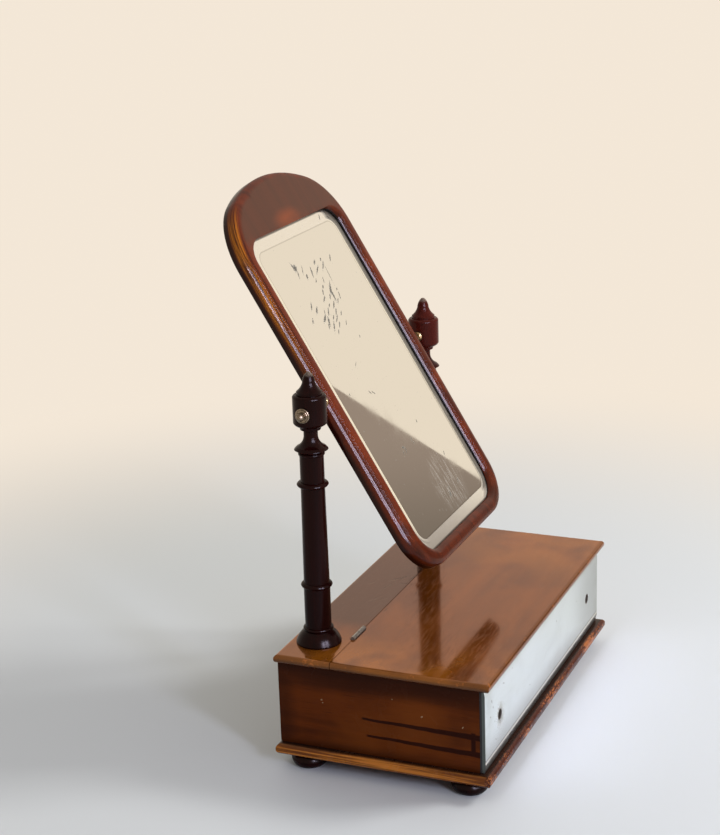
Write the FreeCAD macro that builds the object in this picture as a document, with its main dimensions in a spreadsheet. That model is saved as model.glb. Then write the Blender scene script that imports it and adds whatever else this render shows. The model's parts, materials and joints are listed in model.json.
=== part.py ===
import FreeCAD, Part
import math
import os

import Sketcher

# Dressing-table mirror: a hinged-lid box with a mirror-fronted drawer, and a swing mirror between two
# turned posts.  Millimetres, +Z up, front towards -Y, +X to the right as seen from the front.  The origin
# is on the floor, below the middle of the whole object as it stands with the mirror leaning back.

# ---------------------------------------------------------------------------------------------------
# Driving dimensions.  One cell of the sheet each.
# ---------------------------------------------------------------------------------------------------
DIMENSIONS = {
    # bun feet
    "foot_height": 15.0,
    "foot_radius": 20.0,
    "foot_top_radius": 15.0,
    "foot_sole_radius": 15.5,
    "foot_side_inset": 23.0,
    "foot_end_inset": 30.0,
    "foot_peg_radius": 5.0,
    "foot_peg_length": 8.0,
    # base board
    "base_width": 435.8,
    "base_overhang": 1.3,
    "base_thickness": 12.5,
    "base_nosing": 5.6,
    # case
    "case_side_inset": 9.4,
    "case_front_inset": 13.0,
    "case_height": 93.5,
    "case_rear_inset": 1.5,
    "side_thickness": 9.0,
    "back_thickness": 8.0,
    "front_rail_thickness": 8.0,
    "tray_depth": 28.0,
    "tray_floor_thickness": 4.0,
    "tray_back_thickness": 6.0,
    "ledge_height": 6.0,
    "ledge_width": 6.0,
    # top: fixed rear strip and hinged lid
    "top_side_inset": 2.0,
    "top_depth": 240.0,
    "top_thickness": 9.2,
    "top_nosing": 4.0,
    "strip_depth": 64.2,
    "seam_gap": 0.8,
    "lid_seat_gap": 0.2,
    # hinges
    "hinge_end_inset": 79.6,
    "hinge_length": 32.0,
    "hinge_leaf_height": 7.6,
    "hinge_leaf_thickness": 1.2,
    "hinge_leaf_gap": 0.3,
    "hinge_knuckle_radius": 2.5,
    "hinge_knuckle_gap": 0.15,
    "hinge_pin_radius": 1.0,
    "hinge_pin_rise": 0.6,
    "hinge_gutter_clearance": 0.6,
    "hinge_screw_length": 12.0,
    "hinge_screw_radius": 1.0,
    "hinge_screw_head_radius": 1.8,
    "hinge_screw_head_depth": 0.8,
    "hinge_screw_spacing": 19.0,
    "hinge_screw_drop": 4.6,
    # base screws
    "base_screw_length": 28.0,
    "base_screw_radius": 1.75,
    "base_screw_head_radius": 3.6,
    "base_screw_head_depth": 2.2,
    "base_screw_spacing": 85.0,
    # drawer
    "drawer_side_clearance": 0.5,
    "drawer_seat_clearance": 0.3,
    "drawer_top_clearance": 0.4,
    "drawer_front_gap": 0.3,
    "drawer_rear_clearance": 3.0,
    "drawer_front_thickness": 9.0,
    "drawer_side_thickness": 7.0,
    "drawer_side_step": 3.0,
    "drawer_back_thickness": 7.0,
    "drawer_bottom_thickness": 3.0,
    "drawer_bottom_rise": 5.0,
    "drawer_groove_depth": 3.0,
    "drawer_groove_clearance": 0.1,
    # mirror plate on the drawer front
    "plate_backing_thickness": 2.2,
    "plate_thickness": 4.0,
    "plate_edge_gap": 0.5,
    "plate_bevel_width": 8.5,
    "plate_bevel_depth": 1.8,
    "plate_end_arris": 0.6,
    "knob_hole_radius": 5.5,
    "knob_hole_inset": 45.8,
    # posts
    "post_side_gap": 34.4,
    "post_rear_inset": 31.4,
    "post_base_radius": 24.3,
    "post_base_rim": 1.5,
    "post_bell_height": 14.6,
    "post_bell_round": 24.0,
    "post_bell_top_radius": 15.0,
    "post_collar_radius": 16.0,
    "post_collar_height": 3.4,
    "post_shaft_radius": 14.1,
    "post_shaft_middle_radius": 13.8,
    "post_shaft_top_radius": 12.8,
    "post_bead_radius": 16.9,
    "post_bead_height": 6.0,
    "post_low_bead_height": 65.9,
    "post_high_bead_drop": 79.2,
    "post_astragal_radius": 14.4,
    "post_astragal_drop": 45.8,
    "post_astragal_height": 3.4,
    "post_ring_radius": 18.0,
    "post_ring_drop": 40.9,
    "post_ring_rise": 3.0,
    "post_cove_radius": 13.4,
    "post_neck_radius": 7.5,
    "post_neck_drop": 27.0,
    "post_neck_length": 6.0,
    "post_cup_radius": 11.6,
    "post_cup_drop": 19.4,
    "post_cup_rise": 4.0,
    "post_drum_radius": 17.9,
    "post_drum_drop": 11.7,
    "post_drum_rise": 15.6,
    "post_drum_round": 3.8,
    "post_disc_radius": 13.5,
    "post_disc_rise": 21.3,
    "post_disc_drop": 18.4,
    "post_finial_waist": 6.8,
    "post_finial_waist_rise": 31.0,
    "post_finial_rise": 41.9,
    "post_finial_tip": 1.8,
    "post_tenon_radius": 7.0,
    "post_block_size": 34.0,
    "post_block_height": 16.0,
    # swing mirror, measured from its pivot axis
    "mirror_tilt": 30.94,
    "pivot_height": 257.5,
    "frame_width": 263.0,
    "frame_rise": 244.4,
    "frame_drop": 216.6,
    "frame_thickness": 20.0,
    "frame_pivot_depth": 9.5,
    "frame_member": 17.3,
    "frame_crest": 61.3,
    "frame_arch_radius": 227.5,
    "frame_shoulder_radius": 73.0,
    "frame_corner_radius": 50.4,
    "frame_outer_round": 9.0,
    "frame_inner_round": 6.4,
    "frame_crest_arris": 0.8,
    "frame_back_arris": 1.5,
    "sight_shoulder_radius": 24.0,
    "glass_set_back": 7.9,
    "glass_thickness": 4.0,
    "glass_edge_thickness": 2.0,
    "glass_bevel_width": 14.0,
    "glass_rebate": 5.0,
    "glass_clearance": 0.4,
    "mirror_back_rim": 3.0,
    "mirror_back_rebate": 10.0,
    "mirror_back_clearance": 0.3,
    "mirror_screw_length": 8.0,
    "mirror_screw_radius": 1.0,
    "mirror_screw_head_radius": 2.0,
    "mirror_screw_head_depth": 1.0,
    # pivots
    "pivot_clearance": 0.3,
    "running_clearance": 0.05,
    "bush_spigot_radius": 4.0,
    "bush_spigot_length": 7.0,
    "bush_flange_radius": 6.6,
    "bush_flange_thickness": 2.0,
    "bush_neck_radius": 4.4,
    "bush_collar_radius": 6.0,
    "bush_collar_length": 4.0,
    "thumb_shank_radius": 2.5,
    "thumb_shank_reach": 4.0,
    "thumb_flange_radius": 8.0,
    "thumb_flange_thickness": 2.0,
    "thumb_step_radius": 6.7,
    "thumb_step_thickness": 1.6,
    "thumb_neck_radius": 3.5,
    "thumb_knob_radius": 4.3,
}

SHEET_NAME = "Sizes"


class Size:
    """A number together with the spreadsheet formula that gives it."""

    def __init__(self, value, formula):
        self.value = float(value)
        self.formula = formula

    @staticmethod
    def of(other):
        if isinstance(other, Size):
            return other
        return Size(other, repr(float(other)))

    def __add__(self, other):
        other = Size.of(other)
        return Size(self.value + other.value, "(%s + %s)" % (self.formula, other.formula))

    def __sub__(self, other):
        other = Size.of(other)
        return Size(self.value - other.value, "(%s - %s)" % (self.formula, other.formula))

    def __mul__(self, other):
        other = Size.of(other)
        return Size(self.value * other.value, "(%s * %s)" % (self.formula, other.formula))

    def __truediv__(self, other):
        other = Size.of(other)
        return Size(self.value / other.value, "(%s / %s)" % (self.formula, other.formula))

    def __radd__(self, other):
        return Size.of(other) + self

    def __rsub__(self, other):
        return Size.of(other) - self

    __rmul__ = __mul__

    def __neg__(self):
        return Size(-self.value, "(-1 * %s)" % self.formula)

    def root(self):
        return Size(math.sqrt(self.value), "sqrt(%s)" % self.formula)

    def sine(self):
        return Size(math.sin(math.radians(self.value)), "sin(%s * 1deg)" % self.formula)

    def cosine(self):
        return Size(math.cos(math.radians(self.value)), "cos(%s * 1deg)" % self.formula)


class Cells:
    """Reads an alias of the sheet as a Size: cells.base_width."""

    def __getattr__(self, alias):
        return Size(DIMENSIONS[alias], "%s.%s" % (SHEET_NAME, alias))


S = Cells()
doc = FreeCAD.newDocument("DressingMirror")
sheet = doc.addObject("Spreadsheet::Sheet", SHEET_NAME)
for row, (alias, number) in enumerate(DIMENSIONS.items(), start=1):
    sheet.set("A%d" % row, alias.replace("_", " "))
    sheet.set("B%d" % row, repr(number))
    sheet.setAlias("B%d" % row, alias)
doc.recompute()

nodes = []


# ---------------------------------------------------------------------------------------------------
# Helpers
# ---------------------------------------------------------------------------------------------------
def bind(obj, prop, size):
    """Ties one property to the sheet."""
    obj.setExpression(prop, Size.of(size).formula)


def place(obj, x, y, z):
    """Ties an object's position to the sheet."""
    for axis, size in zip("xyz", (x, y, z)):
        bind(obj, "Placement.Base." + axis, size)
    return obj


def turn(obj, axis, degrees):
    """Gives an object a fixed rotation about its own origin."""
    obj.Placement = FreeCAD.Placement(FreeCAD.Vector(0, 0, 0), FreeCAD.Rotation(FreeCAD.Vector(*axis), degrees))
    return obj


def node(obj, label):
    """Marks a finished sub-part: its label is its file's name."""
    obj.Label = label
    nodes.append(obj)
    return obj


def box(x_size, y_size, z_size, x, y, z):
    """A box from its sizes and its low corner."""
    made = doc.addObject("Part::Box", "Board")
    bind(made, "Length", x_size)
    bind(made, "Width", y_size)
    bind(made, "Height", z_size)
    return place(made, x, y, z)


def cylinder(radius, length, x, y, z, axis="z"):
    """A cylinder whose length runs from x, y, z along +X, +Y, -Y or +Z."""
    made = doc.addObject("Part::Cylinder", "Round")
    bind(made, "Radius", radius)
    bind(made, "Height", length)
    turns = {"x": ((0, 1, 0), 90), "y": ((1, 0, 0), -90), "-y": ((1, 0, 0), 90), "z": ((0, 0, 1), 0)}
    turn(made, *turns[axis])
    return place(made, x, y, z)


def cut(base, tool):
    made = doc.addObject("Part::Cut", "Cut")
    made.Base = base
    made.Tool = tool
    return made


def group(parts):
    """Several solids as one object."""
    made = doc.addObject("Part::Compound", "Group")
    made.Links = parts
    return made


def fuse(parts):
    made = doc.addObject("Part::MultiFuse", "Fuse")
    made.Shapes = parts
    return made


def screw(length, radius, head_radius, head_depth, x, y, z, axis):
    """A countersunk screw: x, y, z is the middle of its head's face, and it points along axis."""
    cone = doc.addObject("Part::Cone", "Head")
    bind(cone, "Radius1", head_radius)
    bind(cone, "Radius2", radius)
    bind(cone, "Height", head_depth)
    shank = doc.addObject("Part::Cylinder", "Shank")
    bind(shank, "Radius", radius)
    bind(shank, "Height", length - head_depth)
    bind(shank, "Placement.Base.z", head_depth)
    made = fuse([cone, shank])
    turns = {"y": ((1, 0, 0), -90), "-y": ((1, 0, 0), 90), "z": ((0, 0, 1), 0)}
    turn(made, *turns[axis])
    return place(made, x, y, z)


def sketch_on(body, role, offset=None):
    """A sketch on one of the body's own origin planes, moved along the plane's normal."""
    sketch = body.newObject("Sketcher::SketchObject", "Sketch")
    plane = [feature for feature in body.Origin.OriginFeatures if feature.Role == role][0]
    sketch.AttachmentSupport = [(plane, "")]
    sketch.MapMode = "FlatFace"
    if offset is not None:
        bind(sketch, "AttachmentOffset.Base.z", offset)
    return sketch


def constrain_point(sketch, geometry, end, across, up):
    """Ties one end of a sketch's edge to the sheet, measured from the sketch's origin."""
    for kind, axis, size in (("DistanceX", -2, across), ("DistanceY", -1, up)):
        if abs(size.value) < 1e-9:
            sketch.addConstraint(Sketcher.Constraint("PointOnObject", geometry, end, axis))
        else:
            index = sketch.addConstraint(Sketcher.Constraint(kind, -1, 1, geometry, end, size.value))
            bind(sketch, "Constraints[%d]" % index, size)


def draw(sketch, corners):
    """Draws a closed outline.  Each corner is (across, up) for a straight edge to the next corner, or
    (across, up, radius) for an arc to it: a positive radius turns left, a negative one right."""
    START, END = 1, 2
    count = len(corners)
    points = [(Size.of(corner[0]), Size.of(corner[1])) for corner in corners]
    ends = []
    for i, corner in enumerate(corners):
        a = FreeCAD.Vector(points[i][0].value, points[i][1].value, 0)
        b = FreeCAD.Vector(points[(i + 1) % count][0].value, points[(i + 1) % count][1].value, 0)
        if len(corner) == 2:
            index = sketch.addGeometry(Part.LineSegment(a, b), False)
            ends.append((index, START, END))
            continue
        bend = Size.of(corner[2])
        side = 1 if bend.value > 0 else -1
        chord = b - a
        half = chord.Length / 2
        normal = FreeCAD.Vector(-chord.y, chord.x, 0).normalize()
        middle = a + chord * 0.5 + normal * side * math.sqrt(max(bend.value ** 2 - half ** 2, 0))
        first, last = (a, b) if side > 0 else (b, a)
        start_angle = math.atan2(first.y - middle.y, first.x - middle.x)
        end_angle = math.atan2(last.y - middle.y, last.x - middle.x)
        if end_angle <= start_angle:
            end_angle += 2 * math.pi
        circle = Part.Circle(middle, FreeCAD.Vector(0, 0, 1), abs(bend.value))
        index = sketch.addGeometry(Part.ArcOfCircle(circle, start_angle, end_angle), False)
        ends.append((index, START, END) if side > 0 else (index, END, START))
    for i in range(count):
        here, after = ends[i], ends[(i + 1) % count]
        sketch.addConstraint(Sketcher.Constraint("Coincident", here[0], here[2], after[0], after[1]))
    for i in range(count):
        constrain_point(sketch, ends[i][0], ends[i][1], *points[i])
    for i, corner in enumerate(corners):
        if len(corner) == 3:
            radius = Size.of(corner[2])
            radius = radius if radius.value > 0 else -radius
            index = sketch.addConstraint(Sketcher.Constraint("Radius", ends[i][0], radius.value))
            bind(sketch, "Constraints[%d]" % index, radius)
    return sketch


def turned(profile):
    """A body turned about its Z axis from a half profile of (radius, height[, arc]) corners."""
    body = doc.addObject("PartDesign::Body", "Turning")
    sketch = draw(sketch_on(body, "XZ_Plane"), profile)
    revolution = body.newObject("PartDesign::Revolution", "Revolution")
    revolution.Profile = sketch
    revolution.ReferenceAxis = (sketch, ["V_Axis"])
    revolution.Angle = 360.0
    body.Tip = revolution
    return body


def pad(body, sketch, length):
    made = body.newObject("PartDesign::Pad", "Pad")
    made.Profile = sketch
    bind(made, "Length", length)
    body.Tip = made
    return made


def pocket(body, sketch, depth, forward=False):
    """Cuts from the sketch's plane, backwards along its normal, or forwards."""
    made = body.newObject("PartDesign::Pocket", "Pocket")
    made.Profile = sketch
    bind(made, "Length", depth)
    made.Reversed = forward
    body.Tip = made
    return made


def edges_where(shape, test):
    """Numbers, from 1, of the edges whose box passes the test."""
    return [i for i, edge in enumerate(shape.Edges, start=1) if test(edge, edge.BoundBox)]


def rounded(base, radii):
    """Rounds edges of an object.  radii lists (edge number, radius at its start, radius at its end)."""
    made = doc.addObject("Part::Fillet", "Rounding")
    made.Base = base
    made.Edges = radii
    return made


def nosed_board(x_size, y_size, z_size, x, y, z, nosing, square_side=None):
    """A board whose long edges are rounded over, except on a side that meets another board."""
    board = box(x_size, y_size, z_size, x, y, z)
    doc.recompute()
    whole = board.Shape.BoundBox

    def is_nosed(edge, bounds):
        if bounds.ZLength > 0.01:
            return False
        on_square = {"front": bounds.YMax < whole.YMin + 0.01, "rear": bounds.YMin > whole.YMax - 0.01}
        return not on_square.get(square_side, False)

    numbers = edges_where(board.Shape, is_nosed)
    return rounded(board, [(number, nosing.value, nosing.value) for number in numbers])


# ---------------------------------------------------------------------------------------------------
# Places that several pieces share
# ---------------------------------------------------------------------------------------------------
base_depth = S.top_depth + 2 * S.base_overhang
case_width = S.base_width - 2 * S.case_side_inset
top_width = S.base_width - 2 * S.top_side_inset
side_depth = S.top_depth - S.case_front_inset - S.case_rear_inset
post_spacing = S.frame_width + 2 * S.post_side_gap

base_bottom = S.foot_height
base_top = base_bottom + S.base_thickness
case_top = base_top + S.case_height
top_surface = case_top + S.top_thickness
pivot_z = top_surface + S.pivot_height

# The mirror leans back over the rear edge, so the case stands forward of the origin.
frame_back_depth = S.frame_thickness - S.frame_pivot_depth
rear_reach = (S.top_depth / 2 - S.post_rear_inset
              + (S.frame_rise - S.frame_back_arris) * S.mirror_tilt.sine()
              + (frame_back_depth - S.frame_back_arris) * S.mirror_tilt.cosine() + S.frame_back_arris)
case_middle = (base_depth / 2 - rear_reach) / 2
top_front = case_middle - S.top_depth / 2
top_rear = case_middle + S.top_depth / 2
case_rear = top_rear - S.case_rear_inset
side_front = case_rear - side_depth
post_y = top_rear - S.post_rear_inset
strip_front = top_rear - S.strip_depth
seam = strip_front - S.seam_gap / 2
lid_rear = strip_front - S.seam_gap

case_left = -case_width / 2
inner_left = case_left + S.side_thickness
inner_width = case_width - 2 * S.side_thickness
back_front = case_rear - S.back_thickness
tray_floor_top = case_top - S.tray_depth
tray_floor_bottom = tray_floor_top - S.tray_floor_thickness
rail_bottom = tray_floor_bottom - S.ledge_height
rail_rear = side_front + S.front_rail_thickness

SIDES = (("left", -1), ("right", 1))
ENDS = (("front", -1), ("rear", 1))


# ---------------------------------------------------------------------------------------------------
# Feet and base
# ---------------------------------------------------------------------------------------------------
def foot_profile():
    """Sole, bulging side, flat top and the peg that is let into the base board."""
    waist = S.foot_height * 0.55
    return [(Size.of(0), Size.of(0)),
            (S.foot_sole_radius, Size.of(0), S.foot_height * 0.75),
            (S.foot_radius, waist, S.foot_height * 0.75),
            (S.foot_top_radius, S.foot_height),
            (S.foot_peg_radius, S.foot_height),
            (S.foot_peg_radius, S.foot_height + S.foot_peg_length),
            (Size.of(0), S.foot_height + S.foot_peg_length)]


feet = []
for end, forward in ENDS:
    for side, sign in SIDES:
        foot = turned(foot_profile())
        place(foot, sign * (S.base_width / 2 - S.foot_side_inset),
              case_middle + forward * (base_depth / 2 - S.foot_end_inset), Size.of(0))
        feet.append(node(foot, "foot_%s_%s" % (end, side)))

base_screws = []
for side, sign in SIDES:
    for step in (-1, 0, 1):
        base_screws.append(screw(S.base_screw_length, S.base_screw_radius, S.base_screw_head_radius,
                                 S.base_screw_head_depth, sign * (case_width - S.side_thickness) / 2,
                                 (side_front + case_rear) / 2 + step * S.base_screw_spacing, base_bottom, "z"))
base_screws = node(group(base_screws), "base_screws")

base_board = nosed_board(S.base_width, base_depth, S.base_thickness, -S.base_width / 2,
                         case_middle - base_depth / 2, base_bottom, S.base_nosing)
node(cut(base_board, group(feet + [base_screws])), "base_board")

# ---------------------------------------------------------------------------------------------------
# Case
# ---------------------------------------------------------------------------------------------------
for side, sign in SIDES:
    x = case_left if sign < 0 else -case_left - S.side_thickness
    panel = box(S.side_thickness, side_depth, S.case_height, x, side_front, base_top)
    node(cut(panel, base_screws), "%s_side" % side)
    ledge_x = inner_left if sign < 0 else -inner_left - S.ledge_width
    node(box(S.ledge_width, back_front - rail_rear, S.ledge_height, ledge_x, rail_rear, rail_bottom),
         "tray_ledge_%s" % side)

node(box(inner_width, S.back_thickness, S.case_height, inner_left, back_front, base_top), "back_panel")
node(box(inner_width, S.front_rail_thickness, case_top - rail_bottom, inner_left, side_front, rail_bottom),
     "front_rail")
node(box(inner_width, back_front - rail_rear, S.tray_floor_thickness, inner_left, rail_rear, tray_floor_bottom),
     "tray_floor")
node(box(inner_width, S.tray_back_thickness, S.tray_depth, inner_left, strip_front, tray_floor_top), "tray_back")


# ---------------------------------------------------------------------------------------------------
# Posts, each one turning with its tenon through the rear strip into a glue block
# ---------------------------------------------------------------------------------------------------
def post_profile():
    """From the tenon's end up to the finial.  The upper turnings keep their places about the pivot."""
    tenon_bottom = -S.top_thickness - S.post_block_height
    half_bead = S.post_bead_height / 2
    half_astragal = S.post_astragal_height / 2
    bulge = S.post_bead_height * 0.7
    collar_top = S.post_bell_height + S.post_collar_height
    pivot = S.pivot_height
    high_bead = pivot - S.post_high_bead_drop
    astragal = pivot - S.post_astragal_drop
    ring = pivot - S.post_ring_drop
    neck = pivot - S.post_neck_drop
    cup = pivot - S.post_cup_drop
    drum_bottom = pivot - S.post_drum_drop
    drum_top = pivot + S.post_drum_rise
    rounding = S.post_drum_round
    return [(Size.of(0), tenon_bottom),
            (S.post_tenon_radius, tenon_bottom),
            (S.post_tenon_radius, Size.of(0)),
            (S.post_base_radius, Size.of(0)),
            (S.post_base_radius, S.post_base_rim, S.post_bell_round),
            (S.post_bell_top_radius, S.post_bell_height),
            (S.post_collar_radius - 0.6, S.post_bell_height, S.post_collar_height * 0.6),
            (S.post_collar_radius - 0.6, collar_top),
            (S.post_shaft_radius, collar_top + 0.4),
            (S.post_shaft_radius, S.post_low_bead_height - half_bead, bulge),
            (S.post_bead_radius, S.post_low_bead_height, bulge),
            (S.post_shaft_middle_radius, S.post_low_bead_height + half_bead),
            (S.post_shaft_top_radius, high_bead - half_bead, bulge),
            (S.post_bead_radius, high_bead, bulge),
            (S.post_shaft_top_radius, high_bead + half_bead),
            (S.post_shaft_top_radius, astragal - half_astragal, S.post_astragal_height * 0.55),
            (S.post_shaft_top_radius + 0.4, astragal + half_astragal),
            (S.post_astragal_radius, ring - S.post_ring_rise * 0.7),
            (S.post_ring_radius, ring),
            (S.post_ring_radius - 0.3, ring + 0.6),
            (S.post_ring_radius - 2.6, ring + S.post_ring_rise, -S.post_cove_radius),
            (S.post_neck_radius, neck),
            (S.post_neck_radius, neck + S.post_neck_length),
            (S.post_cup_radius - 0.8, cup),
            (S.post_cup_radius, cup + S.post_cup_rise - 1),
            (S.post_cup_radius + 1.6, cup + S.post_cup_rise, rounding * 1.6),
            (S.post_drum_radius, drum_bottom),
            (S.post_drum_radius, drum_top, rounding),
            (S.post_drum_radius - rounding * 0.75, pivot + S.post_disc_drop),
            (S.post_disc_radius, pivot + S.post_disc_drop),
            (S.post_disc_radius, pivot + S.post_disc_rise, -19 * S.post_disc_radius / 13.5),
            (S.post_finial_waist, pivot + S.post_finial_waist_rise, 16.4 * S.post_disc_radius / 13.5),
            (S.post_finial_tip, pivot + S.post_finial_rise),
            (Size.of(0), pivot + S.post_finial_rise)]


posts = {}
blocks = {}
for side, sign in SIDES:
    post_x = sign * post_spacing / 2
    block_reach = post_spacing / 2 - S.post_block_size / 2
    block_width = -inner_left - block_reach
    block = box(block_width, S.post_block_size, S.post_block_height, inner_left if sign < 0 else block_reach,
                post_y - S.post_block_size / 2, case_top - S.post_block_height)
    turning = place(turn(turned(post_profile()), (0, 0, 1), 90), post_x, post_y, top_surface)
    bore = cylinder(S.thumb_shank_radius + S.running_clearance, 2 * S.post_drum_radius + 2,
                    post_x - S.post_drum_radius - 1, post_y, pivot_z, "x")
    posts[side] = node(cut(turning, bore), "post_%s" % side)
    blocks[side] = node(cut(block, posts[side]), "post_block_%s" % side)

# ---------------------------------------------------------------------------------------------------
# Hinges: five knuckles on a pin, leaves let into the facing edges of the strip and the lid
# ---------------------------------------------------------------------------------------------------
KNUCKLES = 5
pin_z = top_surface + S.hinge_pin_rise
leaf_bottom = pin_z - S.hinge_leaf_height
gutter_length = S.hinge_length + 2 * S.hinge_gutter_clearance
knuckle_pitch = S.hinge_length / KNUCKLES
strip_screws = []
lid_screws = []
gutters = []
mortises = {"strip": [], "lid": []}

for side, sign in SIDES:
    middle = sign * (top_width / 2 - S.hinge_end_inset)
    start = middle - S.hinge_length / 2
    for name, facing, odd, screws in (("strip", 1, 0, strip_screws), ("lid", -1, 1, lid_screws)):
        near = S.hinge_leaf_gap / 2
        leaf_y = seam + near if facing > 0 else seam - near - S.hinge_leaf_thickness
        leaf = box(S.hinge_length, S.hinge_leaf_thickness, S.hinge_leaf_height, start, leaf_y, leaf_bottom)
        own = []
        others = []
        for k in range(KNUCKLES):
            if k % 2 == odd:
                own.append(cylinder(S.hinge_knuckle_radius, knuckle_pitch - S.hinge_knuckle_gap,
                                    start + k * knuckle_pitch + S.hinge_knuckle_gap / 2, seam, pin_z, "x"))
            else:
                others.append(cylinder(S.hinge_knuckle_radius + S.hinge_knuckle_gap,
                                       knuckle_pitch + S.hinge_knuckle_gap,
                                       start + k * knuckle_pitch - S.hinge_knuckle_gap / 2, seam, pin_z, "x"))
        eye = cylinder(S.hinge_pin_radius + S.running_clearance, gutter_length,
                       middle - gutter_length / 2, seam, pin_z, "x")
        face_y = leaf_y if facing > 0 else leaf_y + S.hinge_leaf_thickness
        for place_x in (-1, 1):
            screws.append(screw(S.hinge_screw_length, S.hinge_screw_radius, S.hinge_screw_head_radius,
                                S.hinge_screw_head_depth, middle + place_x * S.hinge_screw_spacing / 2,
                                face_y, pin_z - S.hinge_screw_drop, "y" if facing > 0 else "-y"))
        knuckled = fuse([cut(leaf, group(others))] + own)
        node(cut(knuckled, group([eye] + screws[-2:])), "hinge_%s_%s_leaf" % (side, name))
        mortises[name].append(leaf)
    gutters.append(cylinder(S.hinge_knuckle_radius + S.hinge_gutter_clearance, gutter_length,
                            middle - gutter_length / 2, seam, pin_z, "x"))
    node(cylinder(S.hinge_pin_radius, S.hinge_length, start, seam, pin_z, "x"), "hinge_%s_pin" % side)

strip_screws = node(group(strip_screws), "hinge_screws_strip")
lid_screws = node(group(lid_screws), "hinge_screws_lid")

# ---------------------------------------------------------------------------------------------------
# Top: rear strip and lid
# ---------------------------------------------------------------------------------------------------
strip = nosed_board(top_width, S.strip_depth, S.top_thickness, -top_width / 2, strip_front, case_top,
                    S.top_nosing, "front")
node(cut(strip, group([posts["left"], posts["right"], strip_screws] + gutters + mortises["strip"])), "rear_strip")

lid_depth = lid_rear - top_front
lid = nosed_board(top_width, lid_depth, S.top_thickness - S.lid_seat_gap, -top_width / 2, top_front,
                  case_top + S.lid_seat_gap, S.top_nosing, "rear")
node(cut(lid, group([lid_screws] + gutters + mortises["lid"])), "lid")

# ---------------------------------------------------------------------------------------------------
# Drawer with its mirror plate
# ---------------------------------------------------------------------------------------------------
drawer_bottom_z = base_top + S.drawer_seat_clearance
drawer_top_z = rail_bottom - S.drawer_top_clearance
drawer_width = inner_width - 2 * S.drawer_side_clearance
drawer_left = -drawer_width / 2
front_face = side_front - S.drawer_front_gap
front_rear = front_face + S.drawer_front_thickness
drawer_rear = back_front - S.drawer_rear_clearance
drawer_side_top = drawer_top_z - S.drawer_side_step
panel_z = drawer_bottom_z + S.drawer_bottom_rise
groove_height = S.drawer_bottom_thickness + S.drawer_groove_clearance
groove_z = panel_z - S.drawer_groove_clearance / 2
slack = S.drawer_groove_clearance / 2

plate_z = base_top + S.plate_edge_gap
plate_height = S.case_height - 2 * S.plate_edge_gap
backing_front = front_face - S.plate_backing_thickness
plate_front = backing_front - S.plate_thickness
hole_z = plate_z + plate_height / 2
hole_x = case_width / 2 - S.knob_hole_inset

groove = box(drawer_width - 2 * (S.drawer_side_thickness - S.drawer_groove_depth),
             drawer_rear - front_rear + S.drawer_groove_depth, groove_height,
             drawer_left + S.drawer_side_thickness - S.drawer_groove_depth,
             front_rear - S.drawer_groove_depth, groove_z)

knob_holes = group([cylinder(S.knob_hole_radius, front_rear - plate_front + 2, sign * hole_x, plate_front - 1,
                             hole_z, "y") for side, sign in SIDES])
front_board = box(drawer_width, S.drawer_front_thickness, drawer_top_z - drawer_bottom_z, drawer_left, front_face,
                  drawer_bottom_z)
node(cut(front_board, group([groove, knob_holes])), "drawer_front")
for side, sign in SIDES:
    x = drawer_left if sign < 0 else -drawer_left - S.drawer_side_thickness
    wall = box(S.drawer_side_thickness, drawer_rear - front_rear, drawer_side_top - drawer_bottom_z, x, front_rear,
               drawer_bottom_z)
    node(cut(wall, groove), "drawer_side_%s" % side)
node(box(drawer_width - 2 * S.drawer_side_thickness, S.drawer_back_thickness,
         drawer_side_top - panel_z - S.drawer_bottom_thickness, drawer_left + S.drawer_side_thickness,
         drawer_rear - S.drawer_back_thickness, panel_z + S.drawer_bottom_thickness), "drawer_back")
node(box(drawer_width - 2 * (S.drawer_side_thickness - S.drawer_groove_depth) - 2 * slack,
         drawer_rear - front_rear + S.drawer_groove_depth - slack, S.drawer_bottom_thickness,
         drawer_left + S.drawer_side_thickness - S.drawer_groove_depth + slack,
         front_rear - S.drawer_groove_depth + slack, panel_z), "drawer_bottom")

backing = box(case_width, S.plate_backing_thickness, plate_height, case_left, backing_front, plate_z)
node(cut(backing, knob_holes), "plate_backing")

plate = doc.addObject("PartDesign::Body", "Plate")
plate_outline = [(case_left, plate_z), (-case_left, plate_z), (-case_left, plate_z + plate_height),
                 (case_left, plate_z + plate_height)]
pad(plate, draw(sketch_on(plate, "XZ_Plane", -backing_front), plate_outline), S.plate_thickness)
doc.recompute()


def bevel(body, width, depth, test):
    """Grinds a wide shallow bevel along the edges that pass the test."""
    base = body.Tip
    made = body.newObject("PartDesign::Chamfer", "Bevel")
    made.Base = (base, ["Edge%d" % number for number in edges_where(base.Shape, test)])
    made.ChamferType = "Two distances"
    made.FlipDirection = True
    bind(made, "Size", width)
    bind(made, "Size2", depth)
    body.Tip = made
    doc.recompute()
    return made


def is_level(value):
    """Test for edges that lie in the plane at this Y."""
    return lambda edge, bounds: abs(bounds.YMin - value) < 0.01 and abs(bounds.YMax - value) < 0.01


def is_long(value):
    """Test for the edges along X in the plane at this Y."""
    return lambda edge, bounds: is_level(value)(edge, bounds) and bounds.XLength > bounds.ZLength


def is_end(value):
    """Test for the upright edges in the plane at this Y."""
    return lambda edge, bounds: is_level(value)(edge, bounds) and bounds.XLength < bounds.ZLength


bevel(plate, S.plate_bevel_width, S.plate_bevel_depth, is_long(plate_front.value))
bevel(plate, S.plate_end_arris, S.plate_end_arris, is_end(plate_front.value))
node(cut(plate, knob_holes), "front_mirror_plate")


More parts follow.
